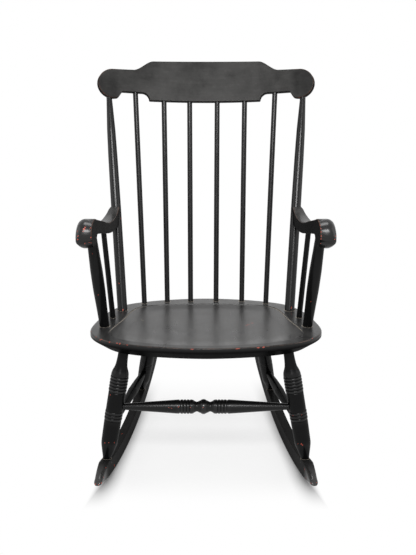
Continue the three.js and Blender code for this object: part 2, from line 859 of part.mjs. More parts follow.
function makeArmPost(side, label) {
  const foot = placeIn(seatFrame, side * armPost.seatX, armPost.seatY, 0);
  const top = new THREE.Vector3(side * armPost.topX, armPost.topY, armPost.topZ);
  const profile = (length) => [
    [0, armPost.foot],
    [length * armPostShares.low, armPost.low],
    [length * armPostShares.bellyStart, armPost.belly],
    [length * armPostShares.bellyEnd, armPost.belly],
    [length * armPostShares.upper, armPost.upper],
    [length, armPost.top],
  ];
  return stick(`arm_post_${label}`, foot, top, profile, {
    start: armPost.seatTenonLength, startSize: armPost.seatTenonEnd,
    end: armPost.tenonLength, endSize: armPost.tenonEnd,
  }, sides.post);
}

function makeArmSpindle(side, label) {
  const foot = placeIn(seatFrame, side * armSpindle.seatX, armSpindle.seatY, 0);
  const top = new THREE.Vector3(side * armSpindle.topX, armSpindle.topY, armSpindle.topZ);
  const profile = (length) => [[0, armSpindle.foot], [length, armSpindle.top]];
  return stick(`arm_spindle_${label}`, foot, top, profile, {
    start: armSpindle.seatTenonLength, startSize: spindle.tenon,
    end: armSpindle.tenonLength, endSize: armSpindle.tenon,
  }, sides.spindle);
}

// Pegs

function peg(name, from, to, size) {
  const profile = (length) => [[0, size], [length, size]];
  const chamfer = { start: gap, startSize: size - gap, end: gap, endSize: size - gap };
  return stick(name, from, to, profile, chamfer, sides.peg, shades.peg);
}

// A peg across a rocker, through the foot tenon of a leg
function makeRockerPeg(side, label, leg, along) {
  const at = leg.position.clone().addScaledVector(axisOf(leg), -rockerPeg.drop);
  const frame = rockerFrame(side);
  const local = at.clone().applyMatrix4(frame.clone().invert());
  const reach = rocker.width / 2 + rockerPeg.proud - gap;
  const from = placeIn(frame, -reach, local.y, local.z);
  const to = placeIn(frame, reach, local.y, local.z);
  return peg(`rocker_peg_${along}_${label}`, from, to, rockerPeg.size);
}

// A peg driven into the crest from behind, into the post's tenon
function makeCrestPeg(side, label, post) {
  const local = post.userData.end.clone()
    .addScaledVector(axisOf(post), crestPeg.height)
    .applyMatrix4(crestFrame.clone().invert());
  const back = -crestBow(local.x) + crest.thickness / 2 + crestPeg.proud;
  const from = placeIn(crestFrame, local.x, back - crestPeg.length, local.z);
  const to = placeIn(crestFrame, local.x, back, local.z);
  return peg(`crest_peg_${label}`, from, to, crestPeg.size);
}

// A peg driven into the post from outside, into the arm's tenon
function makeArmPeg(side, label, tenon) {
  const across = new THREE.Vector3(side, 0, 0);
  const to = tenon.userData.middle.clone()
    .addScaledVector(axisOf(tenon), -armPeg.ahead)
    .addScaledVector(across, backPost.shaft / 2 + armPeg.proud);
  const from = to.clone().addScaledVector(across, -armPeg.length);
  return peg(`arm_peg_${label}`, from, to, armPeg.size);
}

// The chair

const underframe = new THREE.Group();
const seatGroup = new THREE.Group();
const backGroup = new THREE.Group();
const armGroup = new THREE.Group();

const seatPlank = makeSeat();
const crestRail = makeCrest();
const frontRail = makeFrontStretcher();
const rearRail = makeRearStretcher();
const spindles = spindleFootShares.map((share, number) => makeSpindle(number));
const seatSticks = [...spindles];
const crestSticks = [...spindles];

for (const [side, label] of [[-1, 'left'], [1, 'right']]) {
  const rockerPlank = makeRocker(side, label);
  const legFront = makeFrontLeg(side, label);
  const legBack = makeBackLeg(side, label);
  const sideRail = makeSideStretcher(side, label);
  const pegFront = makeRockerPeg(side, label, legFront, 'front');
  const pegBack = makeRockerPeg(side, label, legBack, 'rear');
  const post = makeBackPost(side, label);
  const armStick = makeArmPost(side, label);
  const armThin = makeArmSpindle(side, label);
  const tenon = armTenon(side, post);
  const armPlank = makeArm(side, label, post, tenon);
  const pegArm = makeArmPeg(side, label, tenon);

  socketFor(rockerPlank, legFront, legBack, pegFront, pegBack);
  socketFor(legFront, sideRail, frontRail, pegFront);
  socketFor(legBack, sideRail, rearRail, pegBack);
  socketFor(armPlank, armStick, armThin, pegArm);
  seatSticks.push(legFront, legBack, post, armStick, armThin);
  crestSticks.push(post);

  const pegCrest = makeCrestPeg(side, label, post);
  crestSticks.push(pegCrest);
  socketFor(post, tenon, pegArm, pegCrest);

  underframe.add(rockerPlank, legFront, legBack, sideRail, pegFront, pegBack);
  backGroup.add(post, pegCrest);
  armGroup.add(armPlank, armStick, armThin, pegArm);
}

socketFor(seatPlank, ...seatSticks);
socketFor(crestRail, ...crestSticks);
underframe.add(frontRail, rearRail);
seatGroup.add(seatPlank);
backGroup.add(crestRail, ...spindles);

// The origin goes to the middle of the chair, at the floor
const chair = new THREE.Group();
chair.add(underframe, seatGroup, backGroup, armGroup);
const bounds = new THREE.Box3().setFromObject(chair, true);
const middle = bounds.getCenter(new THREE.Vector3());
chair.position.set(-middle.x, -middle.y, -bounds.min.z);

export default chair;
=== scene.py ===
"""A Boston rocking chair in worn black paint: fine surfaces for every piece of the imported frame.

Metres, +Z up, the sitter faces -Y. The part's origin is on the floor, under the middle of its box."""
import math

import bmesh
import bpy
import numpy as np
from bpy.props import FloatProperty, FloatVectorProperty, PointerProperty
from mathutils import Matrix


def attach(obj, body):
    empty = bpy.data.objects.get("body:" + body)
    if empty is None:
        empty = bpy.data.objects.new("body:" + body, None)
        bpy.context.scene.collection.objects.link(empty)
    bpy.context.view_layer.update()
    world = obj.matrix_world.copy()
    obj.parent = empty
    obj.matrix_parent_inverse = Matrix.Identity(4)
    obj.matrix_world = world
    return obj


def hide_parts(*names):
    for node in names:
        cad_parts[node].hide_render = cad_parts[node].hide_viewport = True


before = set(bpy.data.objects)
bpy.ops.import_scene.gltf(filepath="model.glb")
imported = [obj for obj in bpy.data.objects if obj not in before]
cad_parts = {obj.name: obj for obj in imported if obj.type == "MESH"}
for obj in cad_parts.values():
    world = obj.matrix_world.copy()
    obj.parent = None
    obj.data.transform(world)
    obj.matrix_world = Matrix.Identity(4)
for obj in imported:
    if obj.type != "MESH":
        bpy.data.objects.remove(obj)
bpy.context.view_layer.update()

bl_info = {
    "name": "Boston Rocking Chair",
    "version": (1, 0, 0),
    "blender": (4, 5, 0),
    "location": "View3D > Sidebar > Rocking Chair",
    "description": "Fine surfaces and worn black paint for a turned rocking chair",
    "category": "Object",
}

# The chair is drawn from the floor under the middle of its seat. This is the part's origin, seen from there.
ORIGIN = np.array([0, 0.10335, 0.00012])
MM = 0.001

# The photograph's frame, in pixels
PICTURE = {"width": 416, "height": 555, "chair_axis": 206}


# Settings that a user would change

def size(name, text, millimetres):
    """A length, given here in millimetres and kept in metres."""
    return FloatProperty(name=name, description=text, default=millimetres * MM, unit="LENGTH", precision=4)


def angle(name, text, degrees):
    return FloatProperty(name=name, description=text, default=math.radians(degrees), subtype="ANGLE")


def share(name, text, value):
    return FloatProperty(name=name, description=text, default=value, subtype="FACTOR", min=0, max=1)


def colour(name, text, value):
    return FloatVectorProperty(name=name, description=text, default=value, subtype="COLOR", min=0, max=1)


class SeatSettings(bpy.types.PropertyGroup):
    half_width: size("Half width", "From the middle to the widest place of the edge", 290.5)
    front_reach: size("Front reach", "From the middle to the front edge", 229)
    back_reach: size("Back reach", "From the middle to the back edge", 218)
    thickness: size("Thickness", "The plank's thickness", 37)
    height: size("Height", "Height of the top at the middle", 371.8)
    tilt: angle("Tilt", "How far the seat tips back", 4.79)
    edge_band: size("Edge band", "How far down the edge is upright", 13)
    edge_round: size("Edge rounding", "Radius of the top edge", 2.2)
    gutter_depth: size("Gutter depth", "Depth of the groove round the hollow", 2.8)
    gutter_width: size("Gutter width", "Width of that groove", 3)
    hollow_depth: size("Hollow depth", "Depth of the hollow at its middle", 8)


class CrestSettings(bpy.types.PropertyGroup):
    lean: angle("Lean", "How far the crest leans back", 19.45)
    centre_y: size("Centre Y", "How far back its lower edge is", 330.8)
    centre_z: size("Centre Z", "How high its lower edge is", 899.7)
    bow: size("Bow", "Radius of the bent board", 870)
    thickness: size("Thickness", "The board's thickness", 18)
    top_height: size("Top height", "Height of the panel at its middle", 112.9)
    shoulder_height: size("Shoulder height", "Height of the panel at its shoulders", 109.8)
    shoulder: size("Shoulder", "Half width of the panel's top", 148)
    neck: size("Neck", "Where the top sweeps down to", 204)
    neck_height: size("Neck height", "Height there", 83)
    panel: size("Panel", "Half width of the panel's lower edge", 155.6)
    panel_shift: size("Panel shift", "How far the panel is off centre", -3.3)
    cove: size("Cove", "Width of the coves beside the panel", 20)
    waist_height: size("Waist height", "Height of the lower edge beside the coves", 20.5)
    notch: size("Notch", "Where the waist ends", 233.5)
    notch_width: size("Notch width", "From there to the lobe's own arc", 13.5)
    corner: size("Corner", "Radius of the panel's lower corners", 2.6)
    lobe: size("Lobe", "Centre of the round ends", 258.5)
    lobe_height: size("Lobe height", "Height of that centre", 41.2)
    lobe_radius: size("Lobe radius", "Radius of the round ends", 39.8)
    edge_round: size("Edge rounding", "Radius of the sawn edges", 1.6)


class ArmSettings(bpy.types.PropertyGroup):
    roll_x: size("Roll X", "Inner face of the arm at the roll", 257.1)
    roll_y: size("Roll Y", "Centre of the roll", -157)
    roll_z: size("Roll Z", "Height of that centre", 646.6)
    splay: angle("Splay", "How far the arms open to the front", 3.43)
    reach: size("Reach", "From the roll's centre to the back post", 339)
    roll_radius: size("Roll radius", "Radius of the roll", 34.5)
    roll_width: size("Roll width", "Width of the roll", 38.5)
    tail_width: size("Tail width", "Width at the back post", 21.8)
    edge_round: size("Inner rounding", "Radius of the inner edges", 1.8)
    tail_round: size("Tail rounding", "How much rounder they are at the back post", 4.2)
    lip: size("Lip", "How much smaller the roll is at its inner edge", 5.5)


class RockerSettings(bpy.types.PropertyGroup):
    radius: size("Radius", "Radius of the sole", 1083)
    depth: size("Depth", "Height of the plank", 40)
    width: size("Width", "Thickness of the plank", 25)
    spread: size("Spread", "From the chair's middle to a rocker", 222.1)
    toe: angle("Toe", "How far the rockers open to the front", 7.46)
    low_point: size("Low point", "Where the sole is lowest", 50)
    front_tip: size("Front tip", "From the low point to the front end", 321)
    front_shoulder: size("Front shoulder", "Where the nose's rounding aims", 307)
    front_nose: size("Front nose", "Where the nose starts", 250)
    back_tip: size("Back tip", "From the low point to the rear end", 429)
    back_shoulder: size("Back shoulder", "Where the tail's rounding aims", 413)
    back_nose: size("Back nose", "Where the tail starts", 355)
    outer_taper: size("Outer taper", "How much the ends narrow outside", 4.5)
    inner_taper: size("Inner taper", "How much the ends narrow inside", 1.5)
    edge_round: size("Edge rounding", "Radius of the edges", 2.2)
    tip_round: size("Tip rounding", "How far from the ends they close in plan", 11.5)


class FinishSettings(bpy.types.PropertyGroup):
    paint: colour("Paint", "The black paint", (0.0048, 0.0048, 0.0050))
    faded: colour("Faded paint", "Where the paint has gone grey", (0.0585, 0.0575, 0.056))
    undercoat: colour("Undercoat", "The red coat under the black", (0.43, 0.085, 0.058))
    bare: colour("Bare wood", "Wood where both coats are gone", (0.22, 0.195, 0.165))
    rubbed: colour("Rubbed edge", "Brown along rubbed edges", (0.1, 0.055, 0.04))


class StageSettings(bpy.types.PropertyGroup):
    floor: colour("Floor", "The pale floor", (0.32, 0.32, 0.32))
    # The floor's glow under the chair is painted light that lifts the shade there. It fades out beside the
    # rockers, which paints a darker band along them.
    painted_floor_glow: share("Floor glow", "How far the floor shows white of itself under the chair", 0.71)
    room_light: share("Room light", "Strength of the room's own light", 0.25)
    camera_distance: size("Camera distance", "How far in front of the seat's middle it stands", 1800)
    camera_height: size("Camera height", "Height of the camera", 1083)
    camera_pitch: angle("Camera pitch", "How far it looks down", 18.26)
    focal_length: FloatProperty(name="Focal length", description="Focal length in pixels", default=738.28)


class ChairSettings(bpy.types.PropertyGroup):
    seat: PointerProperty(type=SeatSettings)
    crest: PointerProperty(type=CrestSettings)
    arm: PointerProperty(type=ArmSettings)
    rocker: PointerProperty(type=RockerSettings)
    finish: PointerProperty(type=FinishSettings)
    stage: PointerProperty(type=StageSettings)


# Outlines, as shares of the sizes that they follow

# Half of the seat's plan, from the middle of the back round to the middle of the front:
# across as a share of half_width, along as a share of back_reach or, where negative, of front_reach
SEAT_OUTLINE_SHARES = [
    [0, 1], [0.413, 0.922], [0.637, 0.81], [0.778, 0.688], [0.867, 0.512], [0.922, 0.33], [0.974, 0.02],
    [1, -0.33], [0.971, -0.511], [0.885, -0.681], [0.785, -0.786], [0.64, -0.869], [0.424, -0.943], [0, -1],
]
GUTTER_OUTLINE_SHARES = [
    [0, 0.739], [0.372, 0.7], [0.551, 0.647], [0.637, 0.569], [0.685, 0.45], [0.716, 0.275], [0.754, 0],
    [0.812, -0.297], [0.826, -0.459], [0.778, -0.603], [0.706, -0.69], [0.585, -0.769], [0.389, -0.847],
    [0, -0.904],
]
UNDERSIDE_SHARES = [0.895, 0.86]

# The arm's side view from its rear end to the roll: along as a share of reach and up as a share of
# roll_radius, on the top and on the underside, then the width and the rounding of the outer edges
ARM_STATION_SHARES = [
    [1.01, -0.32, 0.99, -1.785, 0.1, 0.09], [0.965, -0.46, 0.955, -1.775, 0.36, 0.09],
    [0.91, -0.65, 0.91, -1.755, 0.5, 0.09], [0.84, -0.77, 0.84, -1.72, 0.62, 0.09],
    [0.72, -0.79, 0.7, -1.63, 0.67, 0.09], [0.6, -0.684, 0.57, -1.43, 0.7, 0.1],
    [0.48, -0.4, 0.45, -1.148, 0.74, 0.12], [0.36, -0.02, 0.33, -0.83, 0.8, 0.16],
    [0.24, 0.33, 0.21, -0.54, 0.87, 0.24], [0.135, 0.64, 0.115, -0.35, 0.94, 0.36],
    [0.06, 0.88, 0.08, -0.57, 0.98, 0.46],
]
# The roll: shares of a half turn about its centre on the top and on the underside, width and rounding
ARM_ROLL_SHARES = [
    [0, 1.2, 1, 0.6], [0.14, 1.07, 1, 0.62], [0.27, 0.95, 1, 0.62], [0.39, 0.83, 0.97, 0.58],
    [0.49, 0.73, 0.9, 0.46], [0.56, 0.66, 0.79, 0.32],
]

# Turned pieces, in mm: (share of the shown length, diameter) along each, the tenon lengths of the frame's
# solid at its two ends, groups of beads as (first share, last share, number, crest, groove), grooves as
# (share, diameter), and how dull the paint is, from 0 to 1
TURNINGS = {
    "front_leg": {
        "dull": 0.75,
        "tenons": (20, 20),
        "stations": [(0, 19.5), (0.12, 37.6), (0.1475, 40.7), (0.36, 43), (0.622, 43), (0.765, 43.8),
                     (0.79, 43.8), (0.818, 39.7), (0.836, 34.2), (0.855, 30.2), (0.885, 28), (0.93, 26),
                     (1, 25)],
        "beads": [(0.37, 0.455, 3, 44.8, 39.6), (0.63, 0.772, 5, 45.2, 38.6)],
    },
    "rear_leg": {
        "dull": 0.75,
        "tenons": (20, 20),
        "stations": [(0, 19.5), (0.14, 36), (0.33, 39), (0.5, 39), (0.9, 25), (1, 25)],
        "beads": [(0.4, 0.414, 1, 39.6, 36.5)],
    },
    "side_stretcher": {
        "dull": 0.82,
        "tenons": (14, 14),
        "stations": [(0, 15.5), (0.2, 23.5), (0.4, 27.5), (0.54, 23.5), (0.68, 18), (1, 15.5)],
        "grooves": [(0.72, 16)],
    },
    "rear_stretcher": {
        "dull": 0.82,
        "tenons": (14, 14),
        "stations": [(0, 15), (0.25, 19.8), (0.5, 22), (0.75, 19.8), (1, 15)],
    },
    "back_post": {
        "dull": 0.3,
        "tenons": (18, 34),
        "stations": [(0, 27), (0.47, 27.2), (0.72, 25.5), (0.85, 23), (1, 15.2)],
    },
    "back_spindle": {
        "dull": 0.4,
        "tenons": (18, 18),
        "stations": [(0, 14.4), (0.5, 14.7), (1, 14.3)],
    },
    "arm_post": {
        "dull": 0.62,
        "tenons": (18, 18),
        "stations": [(0, 24.5), (0.2, 26.5), (0.42, 30), (0.62, 30), (0.82, 26.5), (1, 23.5)],
    },
    "arm_spindle": {
        "dull": 0.62,
        "tenons": (18, 14),
        "stations": [(0, 14.6), (1, 13.4)],
    },
}
# The front stretcher's middle, in mm from its ball: half the ball, the coves, and the groups of beads
STRETCHER = {
    "tenon": 16, "end": 15.6, "swell": 35.7, "ball": 37.4, "ball_reach": 7.6, "cove": 24.4,
    "cove_reach": 16.4, "beads_start": 27, "beads_end": 58, "bead": 35.6, "groove": 30.6, "off_centre": 6,
    "beads": 4,
}
# Diameters of the pegs in mm
PEGS = {"rocker_peg": 5, "crest_peg": 4, "arm_peg": 4}

# Points round a thick and a thin turned piece and round a peg
AROUND = {"thick": 56, "thin": 32, "peg": 24}
# Rings along a whole turned piece, in each of its beads and across a groove, and half of what these cover
RINGS = {"whole": 90, "bead": 14, "groove": 17}
GROOVE_SHARE = 0.015
# How far a turned surface runs on into the piece that holds it
HIDDEN_END = 7 * MM
# How wide the corners of a turned outline are softened, and a groove's half width
TAPER_BLUR = 4 * MM
GROOVE_WIDTH = MM
# Wear shows what stands this much proud of the outline's mean over this length
PROUD = MM
PROUD_REACH = 5 * MM
# How high a peg's end is domed
PEG_DOME = 0.7 * MM

# How wide the seat's rings are softened, in mm, from its underside to the middle of its hollow
SEAT_BLURS = [2.5, 2.5, 0.7, 0.7, 2, 0.35, 0.35, 2.5, 9, 14]
# Beside the arms the seat's gutter is bare: further than this from the middle, and ending between these
# places along, all in metres
SEAT_BARE_ACROSS = 0.1
SEAT_BARE_END = (0.12, 0.16)
# Half widths of the worn bands along the seat's top edge and along the lower end of its upright edge
RIM_BAND = 1.7 * MM
LOW_BAND = 4 * MM
# The crest's bend is drawn this much closer to the middle, so that its lobes keep the frame's width
LOBE_INSET = 2 * MM
# The crest's middle line is this share as long as the board, so that its ends lie inside the lobes
CREST_MIDDLE_SHARE = 0.972
# How far round the edge of an arm its inner face's marks reach
FACE_MARGIN = 1.5 * MM
# The crack round a foot: how far off the stick it is, where it is whole, where it ends, and its fading
CRACK = {"off": 1.2 * MM, "whole": 0.7 * MM, "end": 2.4 * MM, "fade": 2 * MM}
BUMP_HEIGHT = 0.5 * MM
WELD_DISTANCE = 0.01 * MM

# Chips in the paint, where the photograph shows them: pixel across, pixel down, size in mm
CHIPS = {
    "arm_left": [(84, 229, 3.8), (85, 227, 2.6), (82.5, 231, 2.2), (77, 236, 3), (77.5, 240.5, 3),
                 (85, 243.5, 1.6), (91, 227.5, 1.6), (91.5, 238, 2), (91.5, 243, 1.4), (76.5, 231, 1.4)],
    "arm_right": [(336, 236, 2.8), (320.5, 228, 1.6), (320.8, 232, 1.6), (321.2, 236, 2.2),
                  (321, 240, 2.2), (320, 244.5, 1.4), (335.5, 240, 1.8)],
    "back_post_left": [(124.2, 308.6, 2.2), (122.4, 219, 1.2), (118, 284.5, 1.2)],
    "back_post_right": [(292, 306.6, 1.8)],
    "arm_post_left": [(92, 254.3, 2.2), (98.5, 296, 1)],
    "arm_post_right": [(310.6, 302.8, 2)],
    "front_leg_left": [(109.7, 394.4, 1.8), (103.8, 442.6, 1.2), (108.7, 442.6, 1.2), (115.2, 442.6, 1.6)],
    "front_leg_right": [(301.4, 444.2, 2.6), (302.6, 445.8, 2.2), (292.5, 416.6, 1.8), (302.4, 415.6, 2),
                        (296.9, 444, 1.2)],
    "front_stretcher": [(169, 407.5, 1.6), (172, 408.5, 1.4), (203.3, 407.5, 1.6), (190.5, 407.5, 1.4),
                        (179.5, 406.5, 1.2)],
    "rocker_left": [(122, 432.4, 1.6), (115, 465, 1.6), (106.5, 467.5, 1.6), (104.4, 477, 2.4),
                    (102.8, 483.5, 2.6), (95, 483.3, 2), (98.5, 484.8, 1.6)],
    "rocker_right": [(305, 478, 2), (309, 483.5, 2), (317, 481.5, 1.8), (303.5, 470, 1.6)],
    "seat": [(119.5, 342.5, 3), (116.5, 342.2, 2), (109.3, 341.4, 2.4), (95.8, 336, 2), (99.2, 339.8, 2.4),
             (101.7, 338.2, 2), (127.2, 344.6, 1.4), (193, 348.6, 1.5), (240, 348.4, 1.5),
             (259.5, 347.4, 2.2), (263, 347.2, 2.5), (245.5, 324.4, 1.8), (248, 323.4, 2), (251, 322.4, 1.8),
             (313, 337.2, 1.8), (90.7, 330.6, 1.8)],
}
# Scuffs on the seat down to the wood, in the same way
SEAT_SCUFFS = [(135.7, 319.3, 1.5), (142, 319.5, 2), (144, 320, 1.6), (270, 317.5, 1.8), (226, 340.5, 2.4),
               (231, 342, 2), (235, 339.5, 1.8), (101, 336.5, 2)]
# A chip's bell curve is this share of its size, and it is looked for within this many pixels
CHIP_SHARE = 0.8
CHIP_PIXELS = 1

# Lamps: where each stands and aims, its width and height, all in metres, and its power in watts
LAMPS = {
    "front_softbox": ((0, -2.1, 2.05), (0, 0.05, 0.65), 1.2, 0.5, 46),
    "low_softbox": ((0, -2.1, 1.3), (0, 0.2, 0.5), 0.5, 0.7, 3),
    "top_softbox": ((0, 0.1, 2.5), (0, 0.1, 0), 1.1, 0.8, 20),
    "left_softbox": ((-1.9, -0.4, 1.3), (0, 0, 0.5), 1.2, 1.2, 5),
    "right_softbox": ((1.9, -0.4, 1.3), (0, 0, 0.5), 1.2, 1.2, 5),
}
# Where the floor goes from lit to white of itself, in metres: ahead of the seat's middle, behind it and
# outside the rockers. That white glow is painted light over the chair's shadow. The last is where the
# floor's glow sets in, inside them: weaker painted light that lifts the shade there and is missing along
# the rockers, so that it paints a darker band beside them.
FLOOR_FADES = {"ahead": (0.15, 0.3), "behind": (0.1, 0.44), "outside": (0, 0.03), "inside": (-0.012, 0.045)}
# Half the width of the floor
FLOOR_REACH = 12


# Arrays

def unit(vector):
    return vector / np.linalg.norm(vector)


def turned_x(amount):
    """Turn about X."""
    c, s = math.cos(amount), math.sin(amount)
    return np.array([[1, 0, 0], [0, c, -s], [0, s, c]])


def turned_z(amount):
    """Turn about Z."""
    c, s = math.cos(amount), math.sin(amount)
    return np.array([[c, -s, 0], [s, c, 0], [0, 0, 1]])


def put(points, turn, place):
    """Points of a piece's own frame, turned and moved to their place in the chair, in the part's frame."""
    return points @ turn.T + np.array(place) - ORIGIN


def blend_rows(rows, places, wanted):
    """Rows at the wanted places, straight between the given rows."""
    at = np.clip(np.searchsorted(places, wanted, side="right") - 1, 0, len(places) - 2)
    part = (wanted - places[at]) / (places[at + 1] - places[at])
    part = part.reshape((-1,) + (1,) * (rows.ndim - 1))
    return rows[at] * (1 - part) + rows[at + 1] * part


def soften(rows, places, width):
    """A running mean: each row becomes the mean of its neighbours, weighted by a bell curve of their
    distance along places, with the given width, and by the stretch that each of them stands for."""
    apart = (places[:, None] - places[None, :]) / np.reshape(width, (-1, 1))
    bell = np.exp(-apart ** 2 / 2) * np.gradient(places)
    return np.tensordot(bell / bell.sum(axis=1, keepdims=True), rows, axes=1)


def spread(stops, counts):
    """Places from the first stop to the last, with so many equal steps in each span."""
    spans = [np.linspace(a, b, n, endpoint=False) for a, b, n in zip(stops, stops[1:], counts)]
    return np.concatenate(spans + [[stops[-1]]])


def closed_curve(points, per_span):
    """A smooth closed loop through points: a centripetal Catmull-Rom curve, as a pyramid of blends."""
    p = [np.roll(points, shift, axis=0)[:, None, :] for shift in (1, 0, -1, -2)]
    steps = [np.sqrt(np.linalg.norm(b - a, axis=2, keepdims=True)) for a, b in zip(p, p[1:])]
    knots = [0 * steps[0], steps[0], steps[0] + steps[1], steps[0] + steps[1] + steps[2]]
    t = knots[1] + steps[1] * (np.arange(per_span) / per_span)[None, :, None]

    def blend(a, b, start, end):
        return ((end - t) * a + (t - start) * b) / (end - start)

    first = [blend(p[i], p[i + 1], knots[i], knots[i + 1]) for i in range(3)]
    second = [blend(first[i], first[i + 1], knots[i], knots[i + 2]) for i in range(2)]
    return blend(second[0], second[1], knots[1], knots[2]).reshape(-1, points.shape[1])


def open_curve(rows, per_span):
    """A smooth run through rows of numbers: a Catmull-Rom curve, with its ends carried straight on."""
    p = np.vstack([2 * rows[0] - rows[1], rows, 2 * rows[-1] - rows[-2]])
    a, b, c, d = p[:-3, None], p[1:-2, None], p[2:-1, None], p[3:, None]
    t = (np.arange(per_span) / per_span)[None, :, None]
    run = b + t / 2 * (c - a + t * (2 * a - 5 * b + 4 * c - d + t * (3 * b - 3 * c + d - a)))
    return np.vstack([run.reshape(-1, rows.shape[1]), rows[-1:]])


def smooth_step(value, low, high):
    part = np.clip((value - low) / (high - low), 0, 1)
    return part * part * (3 - 2 * part)


def bump_at(value, place, width):
    """A bell curve round a place."""
    return np.exp(-((value - place) / width) ** 2)


# Meshes

def skin(name, rows, marks, lids=True):
    """A mesh over rings of points: quads between neighbouring rings, and a fan over each end ring, unless
    the end rings are folded shut. marks are kept as attributes that the finish reads: one number for the
    whole piece, or a number or a vector for each point."""
    count, around = rows.shape[:2]
    points = rows.reshape(-1, 3)
    ring = np.arange(around)
    following = np.roll(ring, -1)
    start = (np.arange(count - 1) * around)[:, None]
    quads = np.stack([start + ring, start + following, start + around + following, start + around + ring], 2)
    quads = quads.reshape(-1, 4)
    fans = np.empty((0, 3), int)
    if lids:
        first, top = len(points), (count - 1) * around
        points = np.vstack([points, rows[0].mean(axis=0), rows[-1].mean(axis=0)])
        fans = np.vstack([
            np.stack([following, ring, np.full(around, first)], 1),
            np.stack([top + ring, top + following, np.full(around, first + 1)], 1),
        ])
    corners = np.vstack([quads[:, [0, 1, 2]], quads[:, [0, 2, 3]], fans])
    a, b, c = points[corners[:, 0]], points[corners[:, 1]], points[corners[:, 2]]
    if np.einsum("ij,ij->", a, np.cross(b, c)) < 0:
        quads, fans = quads[:, ::-1], fans[:, ::-1]
    mesh = bpy.data.meshes.new(name)
    mesh.from_pydata(points.tolist(), [], quads.tolist() + fans.tolist())
    for mark, values in marks.items():
        values = np.array(values) if np.ndim(values) > 2 else np.broadcast_to(values, (count, around))
        flat = values.reshape(count * around, -1)
        if lids:
            ends = [values[0].reshape(around, -1).mean(axis=0), values[-1].reshape(around, -1).mean(axis=0)]
            flat = np.vstack([flat, *ends])
        kind, field = ("FLOAT", "value") if flat.shape[1] == 1 else ("FLOAT_VECTOR", "vector")
        mesh.attributes.new(mark, kind, "POINT").data.foreach_set(field, flat.astype(np.float32).ravel())
    mesh.polygons.foreach_set("use_smooth", np.ones(len(mesh.polygons), bool))
    mesh.update()
    piece = bpy.data.objects.new(name, mesh)
    bpy.context.scene.collection.objects.link(piece)
    return piece


def welded(piece):
    """Joins points that lie in the same place, and drops the empty faces between them."""
    work = bmesh.new()
    work.from_mesh(piece.data)
    bmesh.ops.remove_doubles(work, verts=work.verts, dist=WELD_DISTANCE)
    work.to_mesh(piece.data)
    work.free()
    return piece


def in_picture(points):
    """Where points fall in the photograph, in pixels, and how far along the view they are."""
    stage = bpy.context.scene.rocking_chair.stage
    c, s = math.cos(stage.camera_pitch), math.sin(stage.camera_pitch)
    ahead = points[..., 1] + ORIGIN[1] + stage.camera_distance
    below = stage.camera_height - points[..., 2] - ORIGIN[2]
    depth = ahead * c + below * s
    across = PICTURE["chair_axis"] + stage.focal_length * points[..., 0] / depth
    down = PICTURE["height"] / 2 + stage.focal_length * (below * c - ahead * s) / depth
    return across, down, depth


def chip_marks(chips, rows):
    """How near each point is to one of the chips, from 0 to 1: a bell curve round the nearest point of the
    surface that falls on the chip's pixel."""
    marks = np.zeros(rows.shape[:2])
    across, down, depth = in_picture(rows)
    for chip_across, chip_down, chip_size in chips:
        off = np.hypot(across - chip_across, down - chip_down)
        near = off < off.min() + CHIP_PIXELS
        centre = rows[near][np.argmin(depth[near] + off[near] * MM)]
        away = np.linalg.norm(rows - centre, axis=2)
        marks = np.maximum(marks, bump_at(away, 0, CHIP_SHARE * chip_size * MM))
    return marks


def pair(name):
    """The side, -1 for left or 1 for right, and the node's name of each of two mirrored pieces."""
    return [(-1, f"{name}_left"), (1, f"{name}_right")]


def dress(piece, node, material):
    """Gives a new surface its finish and its place on the frame."""
    piece.data.materials.append(material)
    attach(piece, "root")
    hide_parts(node)
    return piece


# Turned pieces

def stick_line(node):
    """The two ends of a turned piece's axis, from its solid in the frame: the middles of its end faces."""
    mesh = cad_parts[node].data
    points = np.empty(len(mesh.vertices) * 3, np.float32)
    mesh.vertices.foreach_get("co", points)
    points = np.unique(points.reshape(-1, 3).round(6), axis=0).astype(float)
    axis = np.linalg.svd(points - points.mean(axis=0), full_matrices=False)[2][0]
    for _ in range(3):
        along = points @ axis
        ends = [points[along < along.min() + MM].mean(axis=0), points[along > along.max() - MM].mean(axis=0)]
        axis = unit(ends[1] - ends[0])
    return ends


def rising(ends):
    """A stick's ends from the lower to the higher, or from left to right where it lies level."""
    low, high = ends
    key = 2 if abs(high[2] - low[2]) > abs(high[0] - low[0]) / 4 else 0
    return (low, high) if low[key] < high[key] else (high, low)


def shown_line(node, tenons):
    """The ends of a stick between its two tenons, of the given lengths in mm, and its length there."""
    low, high = rising(stick_line(node))
    start = low + tenons[0] * MM * unit(high - low)
    end = high - tenons[1] * MM * unit(high - low)
    return (start, end), np.linalg.norm(end - start)


def bead_radii(places, start, end, number, crest, groove):
    """Radii along a group of beads: each is half an ellipse that stands on the groove's radius."""
    part = (places - start) / (end - start) * number
    rise = np.sqrt(np.clip(1 - (2 * (part - np.floor(part)) - 1) ** 2, 0, 1))
    return groove / 2 + (crest - groove) / 2 * rise


def turned_radii(length, kind, places):
    """Radii along a turned piece: straight tapers between its stations, softened, with its beads on top."""
    stations = np.array(kind["stations"])
    fine = np.linspace(-0.05, 1.05, 440)
    radii = np.interp(fine, stations[:, 0], stations[:, 1] * MM / 2)
    radii = np.interp(places / length, fine, soften(radii, fine * length, TAPER_BLUR))
    for start, end, number, crest, groove in kind.get("beads", []):
        inside = (places >= start * length) & (places <= end * length)
        beads = bead_radii(places, start * length, end * length, number, crest * MM, groove * MM)
        radii = np.where(inside, beads, radii)
    for at, groove in kind.get("grooves", []):
        depth = np.interp(at, stations[:, 0], stations[:, 1]) - groove
        radii = radii - depth * MM / 2 * bump_at(places, at * length, GROOVE_WIDTH)
    return radii


